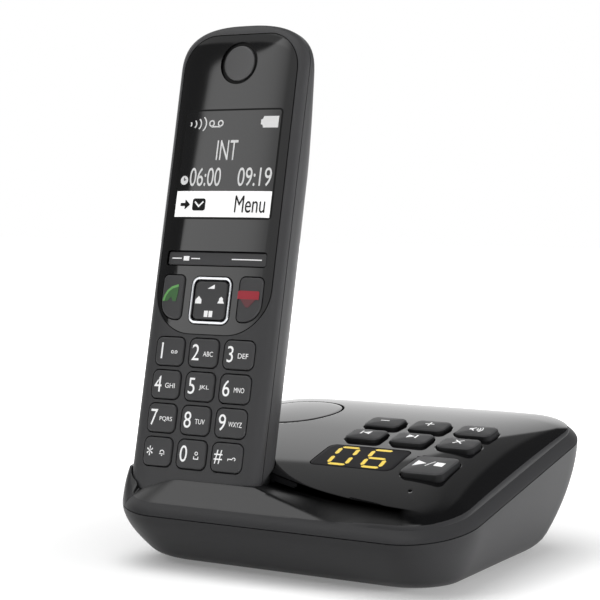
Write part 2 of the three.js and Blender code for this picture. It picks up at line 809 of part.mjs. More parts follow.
function guides() {
  const around = deckKeys.map((key) =>
    prism(deckOutline(key, keyPlay + deck.guideWall), guideBottom, aboveDeck),
  );
  around.push(cylinder(
    pagingKey.x, pagingKey.y, pagingKey.radius + pagingKey.play + deck.guideWall,
    guideBottom, aboveDeck, 2 * roundSteps,
  ));
  around.push(prism(windowOutline(gap + window_.collarWall), window_.collarBottom, aboveDeck));
  around.push(cylinder(
    baseMicrophone.x, baseMicrophone.y, baseMicrophone.bossRadius, baseMicrophone.bossBottom, aboveDeck,
  ));
  bossPlaces().forEach(([x, y]) => {
    around.push(cylinder(x, y, deckBoss.radius, deck.boardTop + gap, aboveDeck, smallSteps));
  });
  return around.map((geometry) => solid(inWorld(deckGroup, geometry)).intersect(skin));
}

// Corners of the key board where the upper shell's bosses meet it.
function bossPlaces() {
  return [
    [keyBoard.left + deckBoss.inset, keyBoard.back - deckBoss.inset],
    [keyBoard.right - deckBoss.inset, keyBoard.back - deckBoss.inset],
    [keyBoard.stepX + deckBoss.inset, keyBoard.front + deckBoss.inset],
  ];
}

const microphoneSurface = deckSurface(baseMicrophone.x, baseMicrophone.y);
const microphoneTop = microphoneSurface - base.wall - gap - baseMicrophone.height / 2;

function deckHoles() {
  const holes = deckKeys.map((key) => prism(deckOutline(key, keyPlay), 0, aboveDeck));
  holes.push(cylinder(
    pagingKey.x, pagingKey.y, pagingKey.radius + pagingKey.play, 0, aboveDeck, 2 * roundSteps,
  ));
  holes.push(prism(windowOutline(gap), window_.seatHeight - gap, aboveDeck));
  holes.push(prism(windowOutline(-window_.ledge), 0, aboveDeck));
  holes.push(cylinder(baseMicrophone.x, baseMicrophone.y, baseMicrophone.hole, 0, aboveDeck, smallSteps));
  holes.push(cylinder(
    baseMicrophone.x, baseMicrophone.y, baseMicrophone.radius + gap, 0, microphoneTop + gap,
  ));
  return holes.map((geometry) => solid(inWorld(deckGroup, geometry)));
}

const screwPlaces = [-screw.x, screw.x].map((x) => [x, screw.y]);
const contactPlaces = [-contact.spread, contact.spread].map((offset) => handset.x + offset);
const contactY = handset.y + contact.depth * Math.cos(handset.lean) + pad.recess * Math.sin(handset.lean);
const padZ = handset.z - contact.depth * Math.sin(handset.lean) + pad.recess * Math.cos(handset.lean);
const pocketFloorZ =
  handset.z - contact.depth * Math.sin(handset.lean) - cradle.play * Math.cos(handset.lean);

function addUpperShell() {
  const inside = solid(upperBody(base.wall, base.wall, base.wall, overrun));
  const reach = solid(upperBody(0, 0, base.wall + gap, base.seamHeight));
  const pocketWall = solid(inWorld(handsetGroup, handsetBody(cradle.play + cradle.wall))).intersect(
    skin.add(reach.intersect(solid(lowerBody(base.wall + gap, floorTop, overrun)))),
  );
  const bosses = screwPlaces.map(([x, y]) => {
    const low = screw.tubeTop + gap;
    const pastSeam = seamZ(y + screw.bossRadius) + gap;
    return solid(cylinder(x, y, screw.bossRadius, low, seamZ(y) + aboveDeck)).intersect(
      skin.add(solid(cylinder(x, y, screw.bossRadius, low, pastSeam))),
    );
  });
  const pocket = solid(inWorld(handsetGroup, handsetBody(cradle.play)));
  const slots = contactPlaces.map((x) => {
    const half = contact.width / 2 + contact.slotPlay;
    const reachY = contact.hook / 2 + contact.slotPlay;
    return solid(block(
      x - half, x + half, contactY - reachY, contactY + reachY,
      pocketFloorZ - overrun, pocketFloorZ + cradle.wall,
    ));
  });
  const bores = screwPlaces.map(([x, y]) =>
    solid(cylinder(x, y, screw.boreRadius, 0, screw.seatHeight + screw.length + gap, smallSteps)),
  );
  const hollow = joinAll([skin.subtract(inside), pocketWall, ...bosses, ...guides()]);
  const body = cutAll(hollow, [pocket, ...slots, ...bores, ...deckHoles()]);
  place(part, "base_upper_shell", body, finishes.glossBlack);
}

function addLowerShell() {
  const shell = solid(lowerBody(0, lower.floorHeight, -gap / 2)).subtract(
    solid(lowerBody(base.wall, floorTop, overrun)),
  );
  const tubes = screwPlaces.map(([x, y]) =>
    solid(cylinder(x, y, screw.tubeRadius, floorTop - gap, screw.tubeTop)),
  );
  const posts = boardPosts().map(([x, y]) => solid(cylinder(
    x, y, post.radius, floorTop - gap, mainBoard.top - mainBoard.thickness - gap, smallSteps,
  )));
  const cutters = [];
  footPlaces().forEach(([x, y]) => {
    const top = lower.floorHeight + foot.recess;
    cutters.push(solid(cylinder(x, y, foot.radius + foot.play, -overrun, top)));
  });
  screwPlaces.forEach(([x, y]) => {
    const well = screw.headRadius + screw.wellPlay;
    cutters.push(solid(cylinder(x, y, well, -overrun, screw.seatHeight)));
    cutters.push(solid(cylinder(x, y, screw.boreRadius, 0, screw.tubeTop + overrun, smallSteps)));
  });
  soundPlaces().forEach(([x, y]) => {
    cutters.push(solid(cylinder(x, y, soundHoles.radius, -overrun, floorTop + gap, smallSteps)));
  });
  [lineSocket, powerSocket].forEach((port) => {
    const half = port.mouth / 2 + socketWindow.play;
    const low = mainBoard.top + gap + socket.wall - socketWindow.play;
    const high = mainBoard.top + gap + socket.wall + socket.mouthHeight + socketWindow.play;
    cutters.push(solid(block(
      port.x - half, port.x + half, socket.back, seamHalfY + overrun, low, high,
    )));
  });
  cutters.push(solid(inWorld(handsetGroup, handsetBody(cradle.play + cradle.wall + gap))));
  const whole = joinAll([shell, ...tubes, ...posts]);
  place(part, "base_lower_shell", cutAll(whole, cutters), finishes.satinGrey);
}

function boardPosts() {
  const near = mainBoard.back - post.insetY;
  return [
    [-mainBoard.halfX + post.insetX + screw.tubeRadius * 3, near],
    [mainBoard.halfX - post.insetX - screw.tubeRadius * 3, near],
    [-mainBoard.halfX + post.insetX, mainBoard.middle + post.insetY],
    [mainBoard.halfX - post.insetX, mainBoard.middle + post.insetY],
    [mainBoard.stepX - post.insetX, mainBoard.front + post.insetY],
  ];
}

function footPlaces() {
  return [[-foot.x, -foot.y], [foot.x, -foot.y], [-foot.x, foot.y], [foot.x, foot.y]];
}

// Sound holes on a square grid inside a circle under the loudspeaker.
function soundPlaces() {
  const reach = speaker.radius * soundReachShare;
  const most = Math.floor(reach / soundHoles.pitch);
  const places = [];
  for (let column = -most; column <= most; column++) {
    for (let row = -most; row <= most; row++) {
      const x = column * soundHoles.pitch;
      const y = row * soundHoles.pitch;
      if (Math.hypot(x, y) <= reach) places.push([speaker.x + x, speaker.y + y]);
    }
  }
  return places;
}

function addDisplay() {
  const slab = prism(windowOutline(0), window_.seatHeight, aboveDeck);
  place(part, "display_window", solid(inWorld(deckGroup, slab)).intersect(skin), finishes.glass);
  const module = block(
    window_.x - digits.halfX, window_.x + digits.halfX, window_.y - digits.halfY, window_.y + digits.halfY,
    deck.boardTop + gap, window_.seatHeight - gap,
  );
  place(deckGroup, "display_module", solid(module), finishes.display);
}

// An L-shaped sheet: its back part is wide, and its front part lies on one side of a step.
function stepped(left, right, frontY, backY, stepX, stepY, radius) {
  const points = [
    [left, stepY], [stepX, stepY], [stepX, frontY], [right, frontY], [right, backY], [left, backY],
  ];
  return roundedPolygon(points, radius);
}

// A polygon whose corners are cut back by a radius and joined by quadratic curves.
function roundedPolygon(points, radius) {
  const shape = new THREE.Shape();
  const corners = points.map(([x, y]) => new THREE.Vector2(x, y));
  corners.forEach((corner, place) => {
    const before = corners[(place + corners.length - 1) % corners.length];
    const after = corners[(place + 1) % corners.length];
    const enter = corner.clone().add(before.clone().sub(corner).setLength(radius));
    const leave = corner.clone().add(after.clone().sub(corner).setLength(radius));
    if (place === 0) shape.moveTo(enter.x, enter.y);
    else shape.lineTo(enter.x, enter.y);
    shape.quadraticCurveTo(corner.x, corner.y, leave.x, leave.y);
  });
  shape.closePath();
  return shape;
}

function addBoards() {
  const main = [
    [-mainBoard.halfX, mainBoard.front], [mainBoard.stepX, mainBoard.front],
    [mainBoard.stepX, mainBoard.middle], [mainBoard.halfX, mainBoard.middle],
    [mainBoard.halfX, mainBoard.back], [-mainBoard.halfX, mainBoard.back],
  ];
  const sheet = solid(prism(
    roundedPolygon(main, mainBoard.radius), mainBoard.top - mainBoard.thickness, mainBoard.top,
  ));
  const holes = screwPlaces.map(([x, y]) => {
    const radius = screw.tubeRadius + gap * 2;
    return solid(cylinder(x, y, radius, 0, mainBoard.top + overrun));
  });
  place(part, "base_main_board", cutAll(sheet, holes), finishes.board);
  const { left, right, front: frontY, back, stepX, stepY, radius } = keyBoard;
  const board = solid(prism(
    stepped(left, right, frontY, back, stepX, stepY, radius),
    deck.boardTop - deck.boardThickness, deck.boardTop,
  ));
  place(deckGroup, "base_key_board", board, finishes.board);
  addKeyMat();
}

// The key mat covers the board but for the bosses' corners, the display and the microphone.
function addKeyMat() {
  const { left, right, front: frontY, back, stepX, stepY, radius } = keyBoard;
  const inset = keyMat.inset;
  const outline = stepped(
    left + inset, right - inset, frontY + inset, back - inset, stepX + inset, stepY + inset, radius,
  );
  const sheet = solid(prism(outline, deck.boardTop + gap, matTop));
  const corner = deckBoss.radius + gap * 2;
  const holes = bossPlaces().map(([x, y]) => cylinder(x, y, corner, 0, aboveDeck));
  holes.push(prism(windowOutline(0), 0, aboveDeck));
  holes.push(cylinder(
    baseMicrophone.x, baseMicrophone.y, baseMicrophone.bossRadius + gap * 2, 0, aboveDeck,
  ));
  place(deckGroup, "base_key_mat", cutAll(sheet, holes.map(solid)), finishes.silicone);
}

function addBaseElectrics() {
  const profile = [
    [0, floorTop + gap],
    [speaker.radius, floorTop + gap],
    [speaker.radius, floorTop + gap + speaker.cone],
    [speaker.magnetRadius, floorTop + gap + speaker.height - speaker.magnetHeight / 2],
    [speaker.magnetRadius, floorTop + gap + speaker.height + speaker.magnetHeight / 2],
    [0, floorTop + gap + speaker.height + speaker.magnetHeight / 2],
  ].map(([radius, height]) => new THREE.Vector2(radius, height));
  const cone = new THREE.LatheGeometry(profile, 2 * roundSteps).rotateX(Math.PI / 2);
  place(part, "loudspeaker", solid(cone.translate(speaker.x, speaker.y, 0)), finishes.metal);
  const capsule = cylinder(
    baseMicrophone.x, baseMicrophone.y, baseMicrophone.radius,
    microphoneTop - baseMicrophone.height, microphoneTop,
  );
  place(deckGroup, "base_microphone", solid(capsule), finishes.metal);
  addSocket("line_socket", lineSocket);
  addSocket("power_socket", powerSocket);
  const names = ["charging_contact_left", "charging_contact_right"];
  contactPlaces.forEach((x, side) => {
    place(part, names[side], solid(contactSpring(x)), finishes.metal);
  });
}

// A lead's socket: a box on the main board with a mouth in its back face.
function addSocket(name, port) {
  const half = port.mouth / 2 + socket.wall;
  const bottom = mainBoard.top + gap;
  const box = solid(block(
    port.x - half, port.x + half, socket.back - gap - socket.depth, socket.back - gap,
    bottom, bottom + socket.height,
  ));
  const mouth = solid(block(
    port.x - port.mouth / 2, port.x + port.mouth / 2, socket.back - gap - socket.mouthDepth,
    socket.back + overrun, bottom + socket.wall, bottom + socket.wall + socket.mouthHeight,
  ));
  place(part, name, box.subtract(mouth), finishes.blackPlastic);
}

// A charging spring: a flat strip that rises from the board, bends over and comes down again.
function contactSpring(x) {
  const radius = contact.hook / 2;
  const crown = padZ - (gap + radius) / Math.cos(handset.lean);
  const bottom = mainBoard.top + gap;
  const shape = new THREE.Shape();
  shape.moveTo(radius, bottom);
  shape.absarc(0, crown, radius, 0, Math.PI);
  shape.lineTo(-radius, crown - contact.tail);
  shape.lineTo(-radius + contact.strip, crown - contact.tail);
  shape.absarc(0, crown, radius - contact.strip, Math.PI, 0, true);
  shape.lineTo(radius - contact.strip, bottom);
  shape.closePath();
  const strip = prism(shape, -contact.width / 2, contact.width / 2, 4);
  return strip.rotateX(Math.PI / 2).rotateZ(Math.PI / 2).translate(x, contactY, 0);
}

function addFeetAndScrews() {
  const names = ["foot_front_left", "foot_front_right", "foot_rear_left", "foot_rear_right"];
  footPlaces().forEach(([x, y], number) => {
    place(part, names[number], solid(cylinder(x, y, foot.radius, 0, foot.height)), finishes.rubber);
  });
  screwPlaces.forEach(([x, y], side) => {
    const headTop = screw.seatHeight - gap;
    const head = solid(cylinder(x, y, screw.headRadius, headTop - screw.headHeight, headTop));
    const tip = screw.seatHeight + screw.length;
    const shank = solid(cylinder(x, y, screw.shankRadius, headTop - gap, tip, smallSteps));
    place(part, ["base_screw_left", "base_screw_right"][side], head.add(shank), finishes.metal);
  });
}

// Front of the handset: shapes are drawn across (x) and along (the shape's y) its face
const panelShape = (grow) =>
  cornered(
    -panel.halfWidth - grow, panel.halfWidth + grow, panel.bottom - grow, panel.top + grow,
    [panel.bottomRadius, panel.topRadius, panel.topRadius, panel.bottomRadius].map((radius) => radius + grow),
  );
const lcdShape = (grow) =>
  cornered(
    -lcd.halfWidth - grow, lcd.halfWidth + grow, lcd.bottom - grow, lcd.top + grow,
    Array(4).fill(lcd.radius + grow),
  );
const navShape = (half, radius) =>
  cornered(-half, half, nav.v - half, nav.v + half, Array(4).fill(radius));
const softShape = (grow) =>
  cornered(
    -softBar.halfX - grow, softBar.halfX + grow, softBar.bottom - grow, softBar.top + grow,
    Array(4).fill(softBar.radius + grow),
  );
const callShape = (side) => (grow) => {
  const inner = callKey.inner - grow;
  const outer = callKey.outer + grow;
  const small = callKey.radius + grow;
  const large = callKey.outerCorner + grow;
  const [x0, x1] = side > 0 ? [inner, outer] : [-outer, -inner];
  const radii = side > 0 ? [large, small, small, small] : [small, small, small, large];
  return cornered(x0, x1, callKey.bottom - grow, callKey.top + grow, radii);
};
const numberShape = (column, row) => (grow) => {
  const x = (column - 1) * numberKey.pitchX;
  const v = numberKey.topV - row * numberKey.pitchV;
  return cornered(
    x - numberKey.halfX - grow, x + numberKey.halfX + grow,
    v - numberKey.halfV - grow, v + numberKey.halfV + grow,
    Array(4).fill(keyDepth.radius + grow),
  );
};
const numberNames = [
  ["key_1", "key_2", "key_3"], ["key_4", "key_5", "key_6"], ["key_7", "key_8", "key_9"],
  ["key_star", "key_0", "key_hash"],
];

// A key of the handset: the upright key turned so that it faces out of the front.
function faceKey(shapeOf, proud, flangeTop) {
  return keyBody(shapeOf, {
    bottom: -keyDepth.bottom,
    flangeTop: -flangeTop,
    top: proud,
    rimWidth: keyDepth.rim,
    edge: keyDepth.edge,
    crown: keyDepth.crown,
  }).rotateX(Math.PI / 2);
}

function addHandsetKeys() {
  const flangeTop = plate.thickness + gap;
  numberNames.forEach((names, row) => {
    names.forEach((name, column) => {
      const body = faceKey(numberShape(column, row), keyDepth.proud, flangeTop);
      place(handsetGroup, name, solid(body), finishes.keyGrey);
    });
  });
  [["talk_key", -1], ["end_key", 1]].forEach(([name, side]) => {
    const body = faceKey(callShape(side), keyDepth.proud, flangeTop);
    place(handsetGroup, name, solid(body), finishes.keyGrey);
  });
  const rockerTop = plate.thickness + nav.flangeGap;
  const bar = faceKey(softShape, softBar.proud, rockerTop);
  place(handsetGroup, "soft_key_bar", solid(bar), finishes.keyGrey);
  const navCap = faceKey((grow) => navShape(nav.half + grow, nav.radius + grow), nav.proud, rockerTop);
  place(handsetGroup, "nav_key", solid(navCap), finishes.keyGrey);
  const frameRing = solid(faceSlab(
    navShape(nav.frameHalf, nav.frameRadius), -nav.frameProud, panel.thickness,
  ));
  const frameHole = solid(faceSlab(
    navShape(nav.frameHalf - nav.frameWidth, nav.radius), -overrun, panel.thickness + overrun,
  ));
  place(handsetGroup, "nav_frame", frameRing.subtract(frameHole), finishes.silver);
  const pivot = depthCylinder(0, nav.v, nav.pivotRadius, keyDepth.bottom + gap, handsetBoard.front - gap);
  place(handsetGroup, "nav_pivot", solid(pivot), finishes.blackPlastic);
}

const outerForm = solid(handsetBody(0));
const innerForm = solid(handsetBody(-handset.wall));
const everywhere = handset.length + overrun;

// The part of a body that lies between two depths behind the handset's face.
function depthSlice(body, depth0, depth1) {
  return body.intersect(solid(block(-everywhere, everywhere, depth0, depth1, -everywhere, everywhere)));
}

function addHandsetFront() {
  const tray = depthSlice(outerForm, -overrun, handset.seamDepth);
  const hollow = depthSlice(innerForm, plate.thickness, everywhere);
  const through = [-overrun, everywhere / 4];
  const cutters = [solid(faceSlab(panelShape(gap), -overrun, panel.thickness + gap, 3))];
  numberNames.forEach((names, row) => {
    names.forEach((name, column) => {
      cutters.push(solid(faceSlab(numberShape(column, row)(keyPlay), ...through, 1)));
    });
  });
  const fieldHoles = [
    faceSlab(callShape(-1)(keyPlay), ...through),
    faceSlab(callShape(1)(keyPlay), ...through),
    faceSlab(softShape(keyPlay), ...through),
    faceSlab(lcdShape(gap), ...through),
    depthCylinder(0, ear.v, ear.soundRadius, ...through),
  ];
  const navPlateHole = faceSlab(navShape(nav.half + keyPlay, nav.radius), ...through);
  const navPanelHole = faceSlab(navShape(nav.frameHalf + gap, nav.frameRadius), ...through);
  const ringHole = depthCylinder(0, ear.v, ear.ringRadius, ...through, 2 * roundSteps);
  cutters.push(...[...fieldHoles, navPlateHole].map(solid));
  cutters.push(solid(
    depthCylinder(0, handsetMicrophone.v, handsetMicrophone.hole, ...through, smallSteps),
  ));
  const shell = cutAll(tray.subtract(hollow), cutters);
  place(handsetGroup, "handset_front_shell", shell, finishes.handsetGrey);
  const pane = depthSlice(outerForm, -overrun, panel.thickness).intersect(
    solid(faceSlab(panelShape(0), -overrun, everywhere, 3)),
  );
  const paneHoles = [...fieldHoles.slice(0, 3), navPanelHole, ringHole].map(solid);
  place(handsetGroup, "handset_panel", cutAll(pane, paneHoles), finishes.glossBlack);
  const screen = solid(faceSlab(lcdShape(0), panel.thickness + gap, panel.thickness + gap + lcd.depth));
  place(handsetGroup, "lcd_module", screen, finishes.glass);
  const cap = depthCylinder(0, ear.v, ear.capRadius, ear.capDrop, panel.thickness, 2 * roundSteps);
  place(handsetGroup, "earpiece_cap", solid(cap), finishes.glossBlack);
  const driver = depthCylinder(
    0, ear.v, receiver.radius, plate.thickness + gap, plate.thickness + gap + receiver.height, 2 * roundSteps,
  );
  place(handsetGroup, "earpiece_receiver", solid(driver), finishes.metal);
}

function addHandsetInside() {
  const sheet = cornered(
    -handsetBoard.halfX, handsetBoard.halfX, handsetBoard.bottom, handsetBoard.top,
    Array(4).fill(handsetBoard.radius),
  );
  const board = faceSlab(sheet, handsetBoard.front, handsetBoard.front + handsetBoard.thickness);
  place(handsetGroup, "handset_board", solid(board), finishes.board);
  const matShape = cornered(
    -handsetMat.halfX, handsetMat.halfX, handsetMat.bottom, handsetMat.top,
    Array(4).fill(handsetMat.radius),
  );
  const mat = solid(faceSlab(matShape, handsetMat.front, handsetMat.front + handsetMat.thickness));
  const eye = solid(depthCylinder(0, nav.v, nav.pivotRadius + nav.pivotPlay, 0, everywhere));
  place(handsetGroup, "handset_key_mat", mat.subtract(eye), finishes.silicone);
  const capsule = depthCylinder(
    0, handsetMicrophone.v, handsetMicrophone.radius, plate.thickness + gap,
    plate.thickness + gap + handsetMicrophone.height,
  );
  place(handsetGroup, "handset_microphone", solid(capsule), finishes.metal);
  [-1, 1].forEach((side, number) => {
    const x = side * cell.spread;
    const top = cell.bottom + cell.length;
    const barrel = solid(cylinder(x, cell.depth, cell.radius, cell.bottom, top - cell.nub));
    const nub = solid(cylinder(
      x, cell.depth, cell.nubRadius, cell.bottom + cell.nub, top, smallSteps,
    ));
    place(handsetGroup, "battery_cell_" + (number + 1), barrel.add(nub), finishes.cellGreen);
  });
}

// Depths and lengths of the battery compartment, around its two cells
const tubFront = cell.depth - cell.radius - gap;
const tubHalfX = cell.spread + cell.radius + tub.play;
const tubBottom = cell.bottom - tub.play;
const tubTop = cell.bottom + cell.length + tub.play;
const coverShape = (grow) =>
  cornered(
    -cover.halfX - grow, cover.halfX + grow, cover.bottom - grow, cover.top + grow,
    Array(4).fill(cover.radius + grow),
  );
const coverFloor = backAt(cover.halfX, cover.top) - cover.skirt;
const ringerBack = backAt(ringer.radius, ringerV + ringer.radius) - handset.wall - gap;

function addHandsetBack() {
  const backTop = handset.seamDepth + gap;
  const tray = depthSlice(outerForm, backTop, everywhere);
  const hollow = depthSlice(innerForm, 0, everywhere);
  const wall = tub.wall;
  const compartment = solid(block(
    -tubHalfX - wall, tubHalfX + wall, tubFront - wall, handset.thickness, tubBottom - wall, tubTop + wall,
  )).intersect(outerForm);
  const space = solid(block(-tubHalfX, tubHalfX, tubFront, everywhere, tubBottom, tubTop));
  const seat = solid(faceSlab(
    coverShape(cover.lap), coverFloor - gap - cover.thickness, everywhere, 3,
  )).intersect(outerForm);
  const recess = solid(faceSlab(coverShape(gap), coverFloor - gap, everywhere, 3));
  const cutters = [recess, space];
  for (let number = 0; number < ringerHoleCount; number++) {
    const angle = (number / ringerHoleCount) * 2 * Math.PI;
    const x = ringer.ring * Math.cos(angle);
    const v = ringerV + ringer.ring * Math.sin(angle);
    cutters.push(solid(
      depthCylinder(x, v, ringer.hole, handset.thickness / 2, everywhere, smallSteps),
    ));
  }
  [-contact.spread, contact.spread].forEach((x) => {
    const half = pad.halfX + gap;
    cutters.push(solid(block(
      x - half, x + half, contact.depth - pad.halfDepth - gap, contact.depth + pad.halfDepth + gap,
      -overrun, pad.recess + pad.thickness + gap,
    )));
  });
  const shell = joinAll([tray.subtract(hollow), compartment, seat]);
  place(handsetGroup, "handset_back_shell", cutAll(shell, cutters), finishes.handsetGrey);
  const lid = depthSlice(outerForm, coverFloor, everywhere).intersect(
    solid(faceSlab(coverShape(0), 0, everywhere, 3)),
  );
  const underside = solid(handsetBody(-cover.thickness)).intersect(
    solid(faceSlab(coverShape(-cover.thickness), 0, everywhere)),
  );
  place(handsetGroup, "battery_cover", lid.subtract(underside), finishes.handsetGrey);
  const horn = depthCylinder(
    0, ringerV, ringer.radius, ringerBack - ringer.height, ringerBack,
  );
  place(handsetGroup, "ringer_speaker", solid(horn), finishes.metal);
  const names = ["handset_contact_left", "handset_contact_right"];
  [-contact.spread, contact.spread].forEach((x, side) => {
    const padPlate = block(
      x - pad.halfX, x + pad.halfX, contact.depth - pad.halfDepth, contact.depth + pad.halfDepth,
      pad.recess, pad.recess + pad.thickness,
    );
    place(handsetGroup, names[side], solid(padPlate), finishes.metal);
  });
}

addLowerShell();
addUpperShell();
addDeckKeys();
addPagingKey();
addDisplay();
addBoards();
addBaseElectrics();
addFeetAndScrews();
addHandsetFront();
addHandsetKeys();
addHandsetInside();
addHandsetBack();

export default part;
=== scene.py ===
"""Answering machine with its cordless handset standing in the charging cradle.

Run as a script, it dresses the packed solids with smooth pieces and materials, and adds the stage.
Lengths are metres, +Z is up, and the front of the machine faces -Y.
"""
import json
import math
from functools import partial, reduce

import bmesh
import bpy
import numpy as np
from bpy.props import FloatProperty, FloatVectorProperty, PointerProperty
from bpy.types import Operator, Panel, PropertyGroup
from mathutils import Matrix, Vector


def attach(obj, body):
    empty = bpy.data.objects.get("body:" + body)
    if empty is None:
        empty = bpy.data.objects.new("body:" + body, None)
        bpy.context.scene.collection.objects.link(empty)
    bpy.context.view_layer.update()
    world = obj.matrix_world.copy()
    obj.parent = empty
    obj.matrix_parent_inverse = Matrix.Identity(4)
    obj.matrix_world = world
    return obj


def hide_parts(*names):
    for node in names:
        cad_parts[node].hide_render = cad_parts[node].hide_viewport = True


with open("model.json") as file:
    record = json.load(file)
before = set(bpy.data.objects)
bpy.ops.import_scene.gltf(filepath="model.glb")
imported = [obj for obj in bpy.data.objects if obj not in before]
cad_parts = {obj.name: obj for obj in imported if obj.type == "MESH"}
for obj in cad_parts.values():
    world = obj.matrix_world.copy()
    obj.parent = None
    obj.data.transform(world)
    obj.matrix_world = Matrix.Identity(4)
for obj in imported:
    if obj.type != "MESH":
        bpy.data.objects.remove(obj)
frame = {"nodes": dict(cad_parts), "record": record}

bl_info = {
    "name": "Answering machine with cordless handset",
    "version": (1, 0, 0),
    "blender": (4, 5, 0),
    "location": "View3D > Sidebar > Answering machine",
    "description": "Smooth casings, keys, displays, markings and finishes over the packed solids",
    "category": "Object",
}

MM = 0.001
HALF_TURN = math.pi
OVERRUN = 6 * MM  # how far cutters and helper bodies run past what they cut
PRINT = 0.05 * MM  # thickness of printed marks
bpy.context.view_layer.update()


def length(name, value, description):
    """A length setting, given in millimetres."""
    return FloatProperty(
        name=name, description=description, default=value * MM,
        unit="LENGTH", subtype="DISTANCE", precision=5,
    )


def share(name, value, description):
    """A plain number, such as a power or a share."""
    return FloatProperty(name=name, description=description, default=value, precision=4)


def turn(name, degrees, description):
    """An angle setting, given in degrees."""
    return FloatProperty(
        name=name, description=description, default=math.radians(degrees),
        unit="ROTATION", subtype="ANGLE",
    )


def linear(shade):
    """A display value from 0 to 255 as linear light: the usual screen curve."""
    value = shade / 255
    return value / 12.92 if value <= 0.04045 else ((value + 0.055) / 1.055) ** 2.4


def paint(name, rgb, description):
    """A colour setting, given as display values from 0 to 255."""
    return FloatVectorProperty(
        name=name, description=description, default=[linear(shade) for shade in rgb],
        subtype="COLOR", size=3, min=0, max=1,
    )


class BaseSizes(PropertyGroup):
    """Casing of the base: outline at the parting line, lower shell, crest, dome, front and rim."""

    half_width: length("Half width", 62.7, "Half the width at the parting line")
    half_depth: length("Half depth", 56.5, "Half the depth at the parting line")
    corner: length("Corner radius", 20.6, "Radius of the outline's corners at the parting line")
    seam_height: length("Parting height", 28.6, "Height of the parting plane over the middle of the base")
    tilt: turn("Tilt", 11.25, "Rise of the parting plane to the back")
    wall: length("Wall", 2.2, "Thickness of the casing")
    split: length("Parting gap", 0.3, "Gap between the two shells")
    floor: length("Floor height", 1.2, "Height of the underside above the table")
    floor_wall: length("Floor thickness", 2, "Thickness of the floor")
    foot_inset_x: length("Foot inset across", 10, "How far the sides are drawn in at the bottom")
    foot_inset_y: length("Foot inset along", 12, "How far front and back are drawn in at the bottom")
    foot_corner: length("Foot corner radius", 14.1, "Radius of the underside's front corners")
    foot_corner_back: length("Rear foot corner radius", 18.5, "Radius of the underside's rear corners")
    foot_round: length("Lower edge radius", 4.5, "Rounding of the lower edge")
    inner_round: length("Inner edge radius", 1.5, "Rounding of the lower edge on the inside")
    barrel: share("Barrel power", 1.7, "How strongly the sides curve in to the bottom")
    band_inset: length("Band inset", 2.8, "How far the crest lies inside the parting line")
    band_rise: length("Band rise", 3.15, "Height of the crest above the parting plane")
    dome_rise: length("Dome rise", 9.2, "Height of the dome above the crest")
    across_power: share("Power across", 5.5, "Fullness of the dome to both sides")
    front_power: share("Power to the front", 2.2, "Fullness of the dome to the front")
    back_share: share("Fall to the back", 0.54, "How fast the dome falls to the back")
    ramp_y: length("Ramp end", -47.2, "Where the ramp meets the handset")
    ramp_z: length("Ramp top", 28.1, "Height of the ramp at the handset")
    ramp_x: length("Ramp corner", -9, "Where the ridge between ramp and shelf starts")
    ridge_x: length("Ridge end", 21, "Where the ridge meets the crest")
    crease_start_x: length("Crease start across", -9, "Where the crease starts at the handset")
    crease_start_y: length("Crease start along", -37.2, "Where the crease starts at the handset")
    crease_end_x: length("Crease end across", 44, "Where the crease runs out")
    crease_end_y: length("Crease end along", -48, "Where the crease runs out")
    crease_depth: length("Crease depth", 3.2, "Height of the step between dome and shelf")
    crease_width: length("Crease width", 0.8, "Width of the step between dome and shelf")
    rim_outset: length("Rim outset", 1, "How far the rim beside the handset bulges out")
    rim_lift: length("Rim lift", 7, "Height of the rim above the crest")
    rim_front: length("Rim front", -51, "Where the rim starts to rise")
    rim_full: length("Rim top", -43, "Where the rim is highest")
    rim_back: length("Rim back", -5, "Where the rim has run out")


